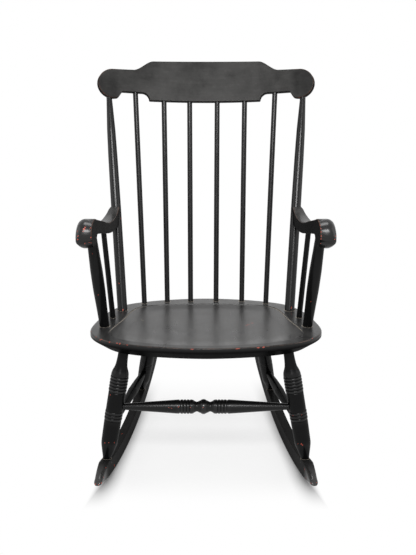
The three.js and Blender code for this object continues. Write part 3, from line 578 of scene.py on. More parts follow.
def turned_places(length, kind):
    """Where a turned piece has its rings: close together in its beads and grooves."""
    groups = [np.linspace(start, end, RINGS["bead"] * number + 1)
              for start, end, number, *_ in kind.get("beads", [])]
    groups += [np.linspace(at - GROOVE_SHARE, at + GROOVE_SHARE, RINGS["groove"])
               for at, _ in kind.get("grooves", [])]
    shares = np.unique(np.concatenate([np.linspace(0, 1, RINGS["whole"]), *groups]))
    hidden = HIDDEN_END / length
    return np.concatenate([[-hidden], shares, [1 + hidden]]) * length


def turned(node, ends, places, radii, around, dull=0.4):
    """A surface of revolution: rings of the given radii, square to the line between two ends. Wear is how
    far a ring stands proud of the mean of its neighbours, and what stands proud has lost its dullness."""
    start, end = ends
    axis = unit(end - start)
    side = unit(np.cross(axis, [0, 1, 0] if abs(axis[1]) < 0.9 else [1, 0, 0]))
    other = np.cross(axis, side)
    turn = np.linspace(0, 2 * np.pi, around, endpoint=False)
    ring = np.cos(turn)[:, None] * side + np.sin(turn)[:, None] * other
    rows = start + places[:, None, None] * axis + radii[:, None, None] * ring
    proud = np.clip((radii - soften(radii, places, PROUD_REACH)) / PROUD, 0, 1)[:, None]
    # Each stick has its grain from another place, so that no two are streaked alike
    grain_start = start.sum() * 3
    along = np.repeat(places[:, None], around, axis=1) + grain_start
    flat = radii[:, None] * np.cos(turn), radii[:, None] * np.sin(turn)
    return skin(f"{node}_surface", rows, {
        "grain": np.stack([flat[0] + grain_start, flat[1], along], axis=2),
        "wear": 0.4 * proud,
        "bare": 0,
        "fade": 0.05,
        "dull": dull * (1 - proud),
        "chip": chip_marks(CHIPS.get(node, []), rows),
    })


def turned_piece(node, kind, around):
    """A stick of one of the kinds in TURNINGS, where its solid in the frame is."""
    ends, length = shown_line(node, kind["tenons"])
    places = turned_places(length, kind)
    return turned(node, ends, places, turned_radii(length, kind, places), around, kind["dull"])


def front_stretcher_profile(length):
    """Places and radii of the front stretcher: two long tapers, and in the middle a ball between two coves
    and two groups of beads."""
    s = {key: value * MM for key, value in STRETCHER.items()}
    middle = length / 2 - s["off_centre"]
    beaded = np.linspace(s["beads_start"], s["beads_end"], RINGS["bead"] * STRETCHER["beads"] + 1)
    inner = np.concatenate([np.linspace(0, s["beads_start"], 30), beaded])
    reaches = np.unique(np.concatenate([-inner, inner]))
    outer = np.concatenate([np.linspace(0, middle - s["beads_end"], 40, endpoint=False),
                            np.linspace(length, middle + s["beads_end"], 40, endpoint=False)])
    places = np.unique(np.concatenate([[-HIDDEN_END, length + HIDDEN_END], outer, middle + reaches]))
    reach = np.abs(places - middle)
    taper = np.interp(places, [0, middle - s["beads_end"], middle + s["beads_end"], length],
                      [s["end"], s["swell"], s["swell"], s["end"]]) / 2
    ball = s["ball"] / 2 - (s["ball"] - s["cove"]) / 4 * (reach / s["ball_reach"]) ** 2.4
    sweep = smooth_step(reach, s["ball_reach"], s["cove_reach"])
    cove_in = (s["ball"] + s["cove"]) / 4 + (s["cove"] - s["ball"]) / 4 * sweep
    climb = np.clip((reach - s["cove_reach"]) / (s["beads_start"] - s["cove_reach"]), 0, 1)
    cove_out = s["cove"] / 2 + (s["bead"] - s["cove"]) / 2 * climb ** 1.7
    beads = bead_radii(reach, s["beads_start"], s["beads_end"], STRETCHER["beads"], s["bead"], s["groove"])
    ends = [s["ball_reach"], s["cove_reach"], s["beads_start"], s["beads_end"]]
    radii = np.select([reach <= end for end in ends], [ball, cove_in, cove_out, beads], taper)
    return places, radii


def front_stretcher():
    """The front stretcher, the only turned piece with an outline of its own."""
    ends, length = shown_line("front_stretcher", (STRETCHER["tenon"], STRETCHER["tenon"]))
    places, radii = front_stretcher_profile(length)
    return turned("front_stretcher", ends, places, radii, AROUND["thick"])


def peg(node, diameter):
    """A round peg whose ends are domed: each dome is half of a flattened ball."""
    ends = stick_line(node)
    length = np.linalg.norm(ends[1] - ends[0])
    part = np.sin(np.linspace(0, np.pi / 2, 8)[1:])
    dome = PEG_DOME * (1 - np.sqrt(1 - part ** 2))
    places = np.concatenate([dome, length - dome[::-1]])
    radii = diameter * MM / 2 * np.concatenate([part, part[::-1]])
    return turned(node, ends, places, radii, AROUND["peg"])


# Sawn and carved pieces

def seat_loop(shares, seat, per_span):
    """A closed smooth loop through half an outline and its mirror image, seen from above."""
    half = np.array(shares, float)
    half[:, 1] *= np.where(half[:, 1] < 0, seat.front_reach, seat.back_reach)
    half[:, 0] *= seat.half_width
    mirrored = half[1:-1][::-1] * [-1, 1]
    return closed_curve(np.vstack([half, mirrored]), per_span)


def raised(loop, height, scale=(1, 1)):
    return np.column_stack([loop * scale, np.full(len(loop), height)])


def seat_rows(seat):
    """Rings of the seat from the middle of its underside, round the edge, over the gutter and into the
    hollow. Each ring is a blend of two neighbouring outlines, and a running mean rounds the corners."""
    edge = seat_loop(SEAT_OUTLINE_SHARES, seat, 12)
    gutter = seat_loop(GUTTER_OUTLINE_SHARES, seat, 12)
    inward = gutter / np.linalg.norm(gutter, axis=1)[:, None]
    brim = 1 - seat.edge_round / seat.half_width
    half = seat.gutter_width / 2
    deep = seat.hollow_depth
    # The hollow starts a step below the border, and the gutter runs out to that step towards the front
    groove = 1 - smooth_step(-gutter[:, 1], 0.35 * seat.front_reach, 0.8 * seat.front_reach)
    step = 0.45 * seat.gutter_depth
    bottom = raised(gutter, 0)
    bottom[:, 2] = -step * 0.6 - (seat.gutter_depth - step * 0.6) * groove
    lip = raised(gutter - inward * half, 0)
    lip[:, 2] = -step
    outlines = {
        "middle": raised(edge, -seat.thickness, np.array(UNDERSIDE_SHARES) * 0.5),
        "underside": raised(edge, -seat.thickness, UNDERSIDE_SHARES),
        "band": raised(edge, -seat.edge_band),
        "rounding": raised(edge, -seat.edge_round),
        "brim": raised(edge, 0, (brim, brim)),
        "border": raised(gutter + inward * half, 0),
        "gutter": bottom,
        "lip": lip,
        "slope": raised(gutter, -0.75 * deep, (0.8, 0.8)),
        "hollow": raised(gutter, -0.97 * deep, (0.42, 0.42)),
        "centre": raised(gutter, -deep, (0.05, 0.05)),
    }
    loops = np.array(list(outlines.values()))
    gaps = np.linalg.norm(np.diff(loops, axis=0), axis=2).mean(axis=1)
    places = np.concatenate([[0], np.cumsum(gaps)])
    at = dict(zip(outlines, places))
    fine = spread(places, [2, 14, 8, 10, 20, 8, 8, 14, 12, 8])
    near = at["border"] + np.linspace(-3 * half, 4 * half, 40)
    fine = np.unique(np.concatenate([fine, near]).round(7))
    stops = [at["underside"], at["band"], at["rounding"], at["brim"], at["border"] - 3 * half, at["border"],
             at["lip"], at["lip"] + 6 * half, at["slope"], at["centre"]]
    rows = soften(blend_rows(loops, places, fine), fine, np.interp(fine, stops, SEAT_BLURS) * MM)
    return rows, fine, at


def seat_marks(rows, fine, at, seat, placed):
    """Marks of the seat: wear along its top edge, bare wood in the gutter beside the arms, grey on its top
    and dull paint below its edge."""
    along = rows[..., 1]
    beside = (1 - smooth_step(along, *SEAT_BARE_END)) * (np.abs(rows[..., 0]) > SEAT_BARE_ACROSS)
    border = 1 - smooth_step(fine, at["border"], at["gutter"])[:, None]
    above = smooth_step(fine, at["rounding"], at["brim"])[:, None]
    top = above * (0.47 + 0.05 * rows[..., 0] / seat.half_width)
    gutter = bump_at(fine, at["gutter"], 0.7 * seat.gutter_width)[:, None] * (0.25 + 0.75 * beside)
    gutter = gutter * (1 - smooth_step(-along, 0.32 * seat.front_reach, 0.5 * seat.front_reach))
    front = smooth_step(-along, -0.3 * seat.front_reach, 0.8 * seat.front_reach)
    rim = bump_at(fine, (at["rounding"] + at["brim"]) / 2, RIM_BAND)[:, None] * (0.3 + 0.4 * front)
    low = 0.2 * bump_at(fine, at["band"], LOW_BAND)[:, None]
    return {
        "grain": rows[..., [0, 2, 1]],
        "wear": np.maximum(rim, low),
        "bare": np.maximum(gutter, 0.7 * chip_marks(SEAT_SCUFFS, placed)),
        "fade": top * (1 - 0.25 * border * beside),
        "dull": 0.9 * (1 - smooth_step(fine, at["band"], at["rounding"]))[:, None],
        "chip": chip_marks(CHIPS["seat"], placed),
    }


def crest_heights(across, crest):
    """The crest's upper and lower outline at places across: panel, sweep, neck and lobe above, and panel,
    rounded corner, cove, waist, notch and lobe below. The notch is a cubic from the waist to the lobe."""
    out = np.abs(across)
    side = np.sign(across)
    from_lobe = np.clip(out - crest.lobe, -crest.lobe_radius, crest.lobe_radius)
    half_lobe = np.sqrt(crest.lobe_radius ** 2 - from_lobe ** 2)
    panel = crest.top_height - (crest.top_height - crest.shoulder_height) * (out / crest.shoulder) ** 2
    fall = smooth_step(out, crest.shoulder, crest.neck)
    sweep = crest.shoulder_height + (crest.neck_height - crest.shoulder_height) * fall
    lobe_top = crest.lobe_height + crest.lobe_radius
    neck = np.interp(out, [crest.neck, crest.lobe], [crest.neck_height, lobe_top])
    upper = np.select([out <= crest.shoulder, out <= crest.neck, out <= crest.lobe],
                      [panel, sweep, neck], crest.lobe_height + half_lobe)
    past = out - crest.panel - side * crest.panel_shift
    turn = np.clip(past + crest.corner, 0, crest.corner)
    corner = crest.corner - np.sqrt(crest.corner ** 2 - turn ** 2)
    cove = crest.waist_height * np.sqrt(1 - (1 - np.clip(past / crest.cove, 0, 1)) ** 2)
    waist = np.where(past < 0, corner, np.maximum(cove, crest.corner))
    end = crest.notch + crest.notch_width - crest.lobe
    depth = np.sqrt(crest.lobe_radius ** 2 - end ** 2)
    t = np.clip((out - crest.notch) / crest.notch_width, 0, 1)
    fall_start, fall_end = -1.5 * crest.notch_width, end / depth * crest.notch_width
    notch = (crest.waist_height * (2 * t ** 3 - 3 * t ** 2 + 1) + fall_start * (t ** 3 - 2 * t ** 2 + t)
             + (crest.lobe_height - depth) * (3 * t ** 2 - 2 * t ** 3) + fall_end * (t ** 3 - t ** 2))
    lower = np.select([out <= crest.notch, t < 1], [waist, notch], crest.lobe_height - half_lobe)
    return upper, lower


def crest_columns(crest):
    """Where the crest has its columns: evenly along the panel, and by equal turns round its lower corners,
    its coves and its lobes."""
    halves = []
    for side in (-1, 1):
        panel = crest.panel + side * crest.panel_shift
        corner = panel - crest.corner + crest.corner * np.sin(np.linspace(0, np.pi / 2, 8))
        low = math.asin(crest.corner / crest.waist_height)
        cove = panel + crest.cove * (1 - np.cos(np.linspace(low, np.pi / 2, 14)))
        notch = crest.notch + np.linspace(0, crest.notch_width, 12)
        last = math.acos((notch[-1] - crest.lobe) / crest.lobe_radius)
        lobe = crest.lobe + crest.lobe_radius * np.cos(np.linspace(0, last, 40))
        parts = [np.linspace(0, panel - crest.corner, 60), corner, cove, notch, lobe]
        parts += [np.linspace(panel + crest.cove, crest.notch, 24)]
        halves.append(side * np.concatenate(parts))
    return np.unique(np.concatenate(halves).round(6))


def crest_rows(crest):
    """Rings across the board: at each column the ring goes up the front from the board's middle line, over
    the rounded upper edge, down the back, and under the rounded lower edge. The end rings are folded flat,
    so that their two halves lie together. The board is bent round an upright axis with its edges square to
    its face: x = (bow + t - LOBE_INSET) * sin(turn) and y = (bow + t) * cos(turn) - bow, where t is the way
    through and sin(turn) = across / bow."""
    across = crest_columns(crest)
    upper, lower = crest_heights(across, crest)
    outline = np.vstack([np.column_stack([across, upper]), np.column_stack([across, lower])[-2:0:-1]])
    along = np.roll(outline, -1, axis=0) - np.roll(outline, 1, axis=0)
    normal = np.column_stack([-along[:, 1], along[:, 0]]) / np.linalg.norm(along, axis=1)[:, None]
    count = len(across)
    lower_at = np.concatenate([[0], np.arange(len(outline) - 1, count - 1, -1), [count - 1]])
    middle = np.column_stack([across * CREST_MIDDLE_SHARE, (upper + lower) / 2])
    phases = np.linspace(0, np.pi / 2, 6)
    inset = crest.edge_round * (1 - np.sin(phases))
    thick = crest.thickness / 2 - crest.edge_round * (1 - np.cos(phases))
    shares = np.array([0, 0.25, 0.5, 0.75, 0.9, 0.975])

    def half_ring(edge, out):
        """From the middle line to the edge on one face: places in the outline's plane."""
        inner = edge - out * crest.edge_round
        flat = middle[:, None] + (inner - middle)[:, None] * shares[None, :, None]
        rounded = edge[:, None] - out[:, None] * inset[None, :, None]
        return np.concatenate([flat, rounded], axis=1)

    depth = np.concatenate([np.full(len(shares), thick[0]), thick])
    up = half_ring(outline[:count], normal[:count])
    down = half_ring(outline[lower_at], normal[lower_at])
    plane = np.concatenate([up, up[:, ::-1], down[:, 1:], down[:, :0:-1]], axis=1)
    facing = np.concatenate([-depth, depth[::-1], depth[1:], -depth[:0:-1]])
    rim = np.concatenate([np.zeros(len(shares)), 0.25 + 0.75 * np.sin(2 * phases)])
    wear = np.concatenate([rim, rim[::-1], rim[1:], rim[:0:-1]])
    turn = np.arcsin(plane[..., 0] / crest.bow)
    through = crest.bow + facing[None, :]
    bent = [(through - LOBE_INSET) * np.sin(turn), through * np.cos(turn) - crest.bow]
    rows = np.stack([*bent, plane[..., 1]], axis=2)
    lobes = smooth_step(np.abs(plane[..., 0]), crest.notch, crest.lobe)
    half = np.concatenate([np.ones(len(shares)), 1 - np.sin(phases)])
    face = np.concatenate([half, half[::-1], half[1:], half[:0:-1]])
    return rows, wear * (0.55 + 0.45 * lobes), face * (0.68 - 0.2 * lobes)


def rounded_ring(heights, sides, rounds, steps, straight):
    """Rings of rectangles with rounded corners: a quarter circle at each corner and points between them.
    heights are high, then low on the outer and on the inner side; sides are inner and outer; rounds are
    inner and outer. Returns places across, heights, and how near each point is to each of the corners:
    inner high, outer high, outer low, inner low."""
    high, outer_low, inner_low = heights
    inner, outer = sides
    corners = [
        (inner, high, rounds[0], np.pi, 1, -1), (outer, high, rounds[1], np.pi / 2, -1, -1),
        (outer, outer_low, rounds[1], 0, -1, 1), (inner, inner_low, rounds[0], -np.pi / 2, 1, 1),
    ]
    blocks = []
    for x, z, radius, start, to_x, to_z in corners:
        turn = start - np.linspace(0, np.pi / 2, steps)
        across = x[:, None] + to_x * radius[:, None] + radius[:, None] * np.cos(turn)
        up = z[:, None] + to_z * radius[:, None] + radius[:, None] * np.sin(turn)
        blocks.append(np.stack([across, up], axis=2))
    part = (np.arange(straight) + 1)[None, :, None] / (straight + 1)
    runs = []
    for block, following in zip(blocks, blocks[1:] + blocks[:1]):
        runs += [block, block[:, -1:] + (following[:, :1] - block[:, -1:]) * part]
    ring = np.concatenate(runs, axis=1)
    span = steps + straight
    at = np.arange(4 * span)[None, :] - (np.arange(4) * span + (steps - 1) / 2)[:, None]
    at = (at + 2 * span) % (4 * span) - 2 * span
    return ring[..., 0], ring[..., 1], bump_at(at, 0, 0.55 * steps)


def arm_sections(arm):
    """Sections along the arm: top and underside in the side view, width and outer rounding, in metres.
    The S comes from its stations, and the roll goes round its centre."""
    body = np.array(ARM_STATION_SHARES) * [*(arm.reach, arm.roll_radius) * 2, 1, 1]
    roll = np.array(ARM_ROLL_SHARES)
    steps = np.linspace(0, len(roll) - 1, 4 * len(roll) - 3)
    top, under, width, rounding = (np.interp(steps, np.arange(len(roll)), column) for column in roll.T)
    place = [f(turn * np.pi) * arm.roll_radius * sign
             for turn in (top, under) for f, sign in ((np.sin, -1), (np.cos, 1))]
    nose = np.column_stack([*place, width, rounding])
    return open_curve(np.vstack([body, nose]), 5)


def arm_rows(arm, side):
    """Rings square to the arm's S: rectangles from the underside to the top, with small inner and large
    outer roundings. The roll is a barrel: towards its inner edge it shrinks about its centre by
    lip * (1 - across / (0.7 * roll_width)) ** 2."""
    sections = arm_sections(arm)
    top, under = sections[:, 0:2], sections[:, 2:4]
    rise = top - under
    height = np.linalg.norm(rise, axis=1)
    up = rise / height[:, None]
    width = arm.tail_width + (arm.roll_width - arm.tail_width) * sections[:, 4]
    outer_round = np.minimum(sections[:, 5] * arm.roll_radius, height * 0.49)
    tail = smooth_step(top[:, 0], 0.9 * arm.reach, arm.reach)
    inner_round = np.minimum(arm.edge_round + arm.tail_round * tail, height * 0.45)
    flat = np.zeros(len(height))
    rounds = (inner_round, outer_round)
    across, lift, corners = rounded_ring((height, flat, flat), (flat, width), rounds, steps=9, straight=11)
    along, high = (under[:, i, None] + lift * up[:, i, None] for i in (0, 1))
    in_roll = smooth_step(-along, -0.45 * arm.roll_radius, 0.05 * arm.roll_radius)
    near = np.clip(1 - across / (0.7 * arm.roll_width), 0, 1) ** 2
    shrink = 1 - arm.lip / arm.roll_radius * near * in_roll
    return np.stack([side * across, along * shrink, high * shrink], axis=2), corners


def arm_marks(rows, corners, arm, name, placed):
    """Marks of an arm: wear on its inner edges, most at the roll's front, and on the outer rounding."""
    front = smooth_step(-rows[..., 1], -0.1 * arm.reach, arm.roll_radius)
    flat = 1 - smooth_step(np.abs(rows[..., 0]), 0, FACE_MARGIN)
    inner = corners[0] + 0.5 * corners[3]
    outer = 0.3 * (corners[1] + corners[2])
    return {
        "grain": rows[..., [0, 2, 1]],
        "wear": inner * (0.7 + 0.3 * front) + outer * (0.2 + 0.8 * front),
        "bare": 0,
        # The left arm's inner face is given much more grey than the right one's, so it shows lighter.
        "fade": (0.46 if name == "arm_left" else 0.03) * flat + 0.56 * (1 - flat) * (1 - front),
        "dull": 0.35 + 0.6 * flat - 0.35 * front * (1 - flat),
        "chip": chip_marks(CHIPS[name], placed),
    }


def sole_height(along, rocker):
    return rocker.radius - np.sqrt(rocker.radius ** 2 - along ** 2)


def top_height(along, rocker):
    return rocker.radius - np.sqrt((rocker.radius - rocker.depth) ** 2 - along ** 2)


def rocker_end(start, aim, tip, rocker, steps):
    """Places along and heights of a rocker's rounded end: a quadratic curve from its top to its tip."""
    t = 1 - (1 - np.linspace(0, 1, steps)) ** 1.8
    first = np.array([start, top_height(start, rocker)])
    second = np.array([aim, top_height(start if aim < 0 else aim, rocker)])
    third = np.array([tip, sole_height(tip, rocker)])
    return ((1 - t) ** 2)[:, None] * first + (2 * t * (1 - t))[:, None] * second + (t ** 2)[:, None] * third


def rocker_rows(rocker, side):
    """Rings across the rocker: rectangles with rounded corners between its sole and its top. Towards the
    ends they narrow, and a quarter circle in plan closes them."""
    nose = rocker_end(-rocker.front_nose, -rocker.front_shoulder, -rocker.front_tip, rocker, 44)
    tail = rocker_end(rocker.back_nose, rocker.back_shoulder, rocker.back_tip, rocker, 44)
    along = np.linspace(-rocker.front_nose, rocker.back_nose, 120)
    top = np.vstack([nose[:0:-1], np.column_stack([along, top_height(along, rocker)]), tail[1:]])
    y, high = top[:, 0], top[:, 1]
    low = np.maximum(np.minimum(sole_height(y, rocker), high), ORIGIN[2])
    half = rocker.width / 2
    ends = [-rocker.front_tip, -rocker.front_nose, rocker.back_nose, rocker.back_tip]
    left = np.minimum(y + rocker.front_tip, rocker.back_tip - y) / rocker.tip_round
    close = np.sqrt(1 - (1 - np.clip(left, 0, 1)) ** 2)
    outer = close * np.interp(y, ends, [half - rocker.outer_taper, half, half, half - rocker.outer_taper])
    inner = -close * np.interp(y, ends, [half - rocker.inner_taper, half, half, half - rocker.inner_taper])
    nose_share = smooth_step(-y, rocker.front_nose, rocker.front_tip - rocker.tip_round)
    wanted = rocker.edge_round * (1 + 3.4 * nose_share)
    rounding = np.minimum(np.minimum(wanted, (high - low) * 0.48), (outer - inner) * 0.48)
    rounds = (rounding, rounding)
    across, up, corners = rounded_ring((high, low, low), (inner, outer), rounds, steps=7, straight=3)
    rows = np.stack([side * across, np.repeat(y[:, None], across.shape[1], axis=1), up], axis=2)
    return rows, corners


def rocker_marks(rows, corners, rocker, name, placed):
    """Marks of a rocker: wear along its edges, most at the nose, and bare wood round the nose's end."""
    nose = smooth_step(-rows[..., 1], rocker.front_nose, rocker.front_tip - rocker.tip_round)
    tip = smooth_step(-rows[..., 1], rocker.front_tip - 0.7 * rocker.tip_round, rocker.front_tip)
    upper = corners[0] + corners[1]
    lower = corners[2] + corners[3]
    return {
        "grain": rows[..., [0, 2, 1]],
        "wear": upper * 0.42 + lower * 0.36 + 0.3 * tip,
        "bare": 0.25 * lower + 0.3 * upper * nose + 0.15 * tip,
        "fade": 0.3 + 0.1 * nose,
        "dull": 0.9 - 0.8 * nose,
        "chip": chip_marks(CHIPS[name], placed),
    }


# Finish

class Wire:
    """A socket of a material's node tree. Sums and products of wires and numbers add Math nodes."""

    def __init__(self, tree, socket=None):
        self.tree = tree
        self.socket = socket

    def node(self, kind, settings=None, sockets=None, output=0):
        """Adds a node: first its settings, then its sockets' values or links."""
        node = self.tree.nodes.new(kind)
        for key, value in (settings or {}).items():
            setattr(node, key, value)
        for key, value in (sockets or {}).items():
            if isinstance(value, Wire):
                self.tree.links.new(value.socket, node.inputs[key])
            else:
                node.inputs[key].default_value = value
        return Wire(self.tree, node.outputs[output])

    def math(self, operation, *others):
        return self.node("ShaderNodeMath", {"operation": operation}, dict(enumerate((self, *others))))

    def vector(self, operation, *others, output=0):
        """Vector Math on this vector and others. Output 1 is the number that a length or a product gives."""
        sockets = dict(enumerate((self, *others)))
        return self.node("ShaderNodeVectorMath", {"operation": operation}, sockets, output)

    def __add__(self, other):
        return self.math("ADD", other)

    def __sub__(self, other):
        return self.math("SUBTRACT", other)

    def __rsub__(self, other):
        return (self * -1) + other

    def __mul__(self, other):
        return self.math("MULTIPLY", other)

    __radd__ = __add__
    __rmul__ = __mul__

    def largest(self, other):
        return self.math("MAXIMUM", other)

    def between(self, low, high):
        """A smooth step from 0 at low to 1 at high."""
        settings = {"interpolation_type": "SMOOTHSTEP"}
        return self.node("ShaderNodeMapRange", settings, {0: self, 1: low, 2: high})

    def noise(self, scale, detail=2, rough=0.5):
        """Soft noise at a vector, about 0 on average."""
        sockets = {"Vector": self, "Scale": scale, "Detail": detail, "Roughness": rough}
        return self.node("ShaderNodeTexNoise", {}, sockets) - 0.5

    def mixed(self, first, second):
        """A colour that goes from the first to the second as this mask goes from 0 to 1."""
        return self.node("ShaderNodeMix", {"data_type": "RGBA"}, {0: self, 6: first, 7: second}, output=2)

    def mark(self, name, output=2):
        """A mark that the mesh carries: its number, or its vector where output is 1."""
        return self.node("ShaderNodeAttribute", {"attribute_name": name}, {}, output=output)


def new_material(name):
    """A material with its Principled shader, and a wire to start from."""
    material = bpy.data.materials.new(name)
    material.use_nodes = True
    shader = material.node_tree.nodes["Principled BSDF"]
    return material, shader, Wire(material.node_tree)


def opaque(value):
    return (*value, 1)


def foot_lines(feet):
    """The lower end, the direction, the radius and the start of the crack of every stick of the given
    kinds, radii in mm. The crack starts at the tenon's shoulder, or lower where the stick leans."""
    lines = []
    for node in sorted(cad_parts):
        for kind, radius in feet.items():
            if node.startswith(kind):
                low, high = rising(stick_line(node))
                start_at = (TURNINGS[kind]["tenons"][0] - 0.45 * radius) * MM
                lines.append((low, unit(high - low), radius * MM, start_at))
    return lines


def crack_round(place, point, axis, radius, start_at):
    """1 on a thin ring round the foot of a stick, where it leaves the wood that holds it, and 0 elsewhere:
    how near the distance from the stick's axis is to its radius."""
    off = place.vector("SUBTRACT", tuple(point))
    distance = off.vector("CROSS_PRODUCT", tuple(axis)).vector("LENGTH", output=1)
    rise = off.vector("DOT_PRODUCT", tuple(axis), output=1)
    ring = 1 - (distance - radius - CRACK["off"]).math("ABSOLUTE").between(CRACK["whole"], CRACK["end"])
    return ring * rise.between(start_at - CRACK["fade"], start_at)


def worn_paint(name, finish, gloss, reflection, grain_relief, feet):
    """Black paint over a red undercoat on wood: cloudy and streaked along the grain, rubbed brown at the
    edges, chipped to the red in spots, and faded, bare or dull where the mesh says so. feet are the kinds
    of sticks, with their radii in mm, round whose feet a crack in the paint shows wood."""
    material, shader, start = new_material(name)
    tree = material.node_tree
    place = start.node("ShaderNodeTexCoord", output=3)
    grain = start.mark("grain", output=1)
    wear = start.mark("wear")
    chip = start.mark("chip")
    bare = start.mark("bare")
    fade = start.mark("fade")
    dull = start.mark("dull")
    clouds = place.noise(9, 3)
    patches = place.noise(34, 4, 0.6)
    flakes = place.noise(210, 3, 0.6)
    grit = place.noise(900, 2)
    streaks = grain.vector("MULTIPLY", (150, 150, 9)).noise(1, 4, 0.6)
    pores = grain.vector("MULTIPLY", (700, 700, 26)).noise(1, 2)

    # How far the paint is faded, rubbed brown, chipped to the red and worn to the wood, from 0 to 1
    faded = (fade + fade * (clouds * 1.1 + patches * 0.8 + streaks * (4 * grain_relief))).between(0, 1)
    rubbed = (wear + flakes * 1.1 + patches * 0.8).between(0.42, 1.05) * 0.85
    chipped = (wear * 0.62 + flakes * 1.6 + patches * 1.5).between(0.86, 0.94)
    chipped = chipped.largest((chip + flakes * 0.9).between(0.5, 0.6))
    for line in foot_lines(feet):
        bare = bare.largest(crack_round(place, *line) * 0.75)
    woody = (bare + flakes * 0.6 + patches * 0.3).between(0.38, 0.7)

    # Their colours, each over the one before, then how rough the paint is and how high
    tone = faded.mixed(opaque(finish.paint), opaque(finish.faded))
    tone = rubbed.mixed(tone, opaque(finish.rubbed))
    tone = woody.mixed(tone, opaque(finish.bare))
    tone = chipped.mixed(tone, opaque(finish.undercoat))
    roughness = (1 - gloss) + clouds * 0.12 + patches * 0.2 + streaks * 0.16 + chipped * 0.25 + woody * 0.2
    relief = patches * 0.2 + streaks * (0.5 * grain_relief) + pores * 0.008 + grit * 0.004
    relief = relief - chipped * 0.35 - woody * 0.2
    bumps = start.node("ShaderNodeBump", {}, {"Strength": 0.6, "Distance": BUMP_HEIGHT, "Height": relief})

    # Paint with a shine, and the same without any for where it is dull
    shader.inputs["Specular IOR Level"].default_value = reflection
    tree.links.new(tone.socket, shader.inputs["Base Color"])
    tree.links.new(roughness.socket, shader.inputs["Roughness"])
    tree.links.new(bumps.socket, shader.inputs["Normal"])
    dry = {"Base Color": tone, "Roughness": 0.9, "Specular IOR Level": 0, "Normal": bumps}
    dry_paint = start.node("ShaderNodeBsdfPrincipled", {}, dry)
    both = {0: dull, 1: Wire(tree, shader.outputs[0]), 2: dry_paint}
    surface = start.node("ShaderNodeMixShader", {}, both)
    tree.links.new(surface.socket, tree.nodes["Material Output"].inputs["Surface"])
    return material


def material_for(name, gloss, reflection, grain_relief, feet):
    """The worn paint of that name, built only once."""
    finish = bpy.context.scene.rocking_chair.finish
    made = bpy.data.materials.get(name)
    return made or worn_paint(name, finish, gloss, reflection, grain_relief, feet)


def frame_paint():
    """The paint of the turned pieces, the arms and the pegs."""
    return material_for("worn_black_paint", gloss=0.75, reflection=0.38, grain_relief=0.05, feet={})


def board_paint():
    """The paint of the crest and the rockers, with cracks round the feet of the legs."""
    feet = {"front_leg": 9.8, "rear_leg": 9.8}
    return material_for("board_paint", gloss=0.76, reflection=0.42, grain_relief=0.08, feet=feet)


def seat_paint():
    """The seat's duller paint, with cracks round the feet of all that stands on it."""
    feet = {"back_post": 13.5, "back_spindle": 7.2, "arm_post": 12.2, "arm_spindle": 7.3}
    return material_for("worn_seat_paint", gloss=0.68, reflection=0.29, grain_relief=0.22, feet=feet)


# Operators

class ROCKING_OT_seat(bpy.types.Operator):
    """Make the plank seat with its gutter and hollow"""
    bl_idname = "rocking.seat"
    bl_label = "Seat"

    def execute(self, context):
        chair = context.scene.rocking_chair
        rows, fine, at = seat_rows(chair.seat)
        placed = put(rows, turned_x(-chair.seat.tilt), (0, 0, chair.seat.height))
        marks = seat_marks(rows, fine, at, chair.seat, placed)
        dress(skin("seat_surface", placed, marks), "seat", seat_paint())
        return {"FINISHED"}


class ROCKING_OT_crest(bpy.types.Operator):
    """Make the bent crest rail"""
    bl_idname = "rocking.crest"
    bl_label = "Crest Rail"

    def execute(self, context):
        crest = context.scene.rocking_chair.crest
        rows, wear, face = crest_rows(crest)
        placed = put(rows, turned_x(-crest.lean), (0, crest.centre_y, crest.centre_z))
        grain = rows[..., [1, 2, 0]]
        marks = {"grain": grain, "wear": wear, "bare": 0, "fade": face, "dull": 0.9, "chip": 0}
        piece = welded(skin("crest_rail_surface", placed, marks, lids=False))
        dress(piece, "crest_rail", board_paint())
        return {"FINISHED"}


class ROCKING_OT_sticks(bpy.types.Operator):
    """Make the turned posts, spindles, legs and stretchers"""
    bl_idname = "rocking.sticks"
    bl_label = "Turned Pieces"

    def execute(self, context):
        for node in sorted(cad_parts):
            for name, kind in TURNINGS.items():
                if node.startswith(name):
                    piece = turned_piece(node, kind, AROUND["thin" if "spindle" in name else "thick"])
                    dress(piece, node, frame_paint())
        dress(front_stretcher(), "front_stretcher", frame_paint())
        return {"FINISHED"}


class ROCKING_OT_arms(bpy.types.Operator):
    """Make the two rolled arms"""
    bl_idname = "rocking.arms"
    bl_label = "Arms"

    def execute(self, context):
        arm = context.scene.rocking_chair.arm
        for side, node in pair("arm"):
            rows, corners = arm_rows(arm, side)
            placed = put(rows, turned_z(side * arm.splay), (side * arm.roll_x, arm.roll_y, arm.roll_z))
            marks = arm_marks(rows, corners, arm, node, placed)
            dress(skin(f"{node}_surface", placed, marks), node, frame_paint())
        return {"FINISHED"}


class ROCKING_OT_rockers(bpy.types.Operator):
    """Make the two rockers"""
    bl_idname = "rocking.rockers"
    bl_label = "Rockers"

    def execute(self, context):
        rocker = context.scene.rocking_chair.rocker
        for side, node in pair("rocker"):
            rows, corners = rocker_rows(rocker, side)
            placed = put(rows, turned_z(side * rocker.toe), (side * rocker.spread, rocker.low_point, 0))
            marks = rocker_marks(rows, corners, rocker, node, placed)
            dress(welded(skin(f"{node}_surface", placed, marks)), node, board_paint())
        return {"FINISHED"}


class ROCKING_OT_pegs(bpy.types.Operator):
    """Make the pegs that lock the joints"""
    bl_idname = "rocking.pegs"
    bl_label = "Pegs"

    def execute(self, context):
        for node in sorted(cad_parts):
            for name, diameter in PEGS.items():
                if node.startswith(name):
                    dress(peg(node, diameter), node, frame_paint())
        return {"FINISHED"}


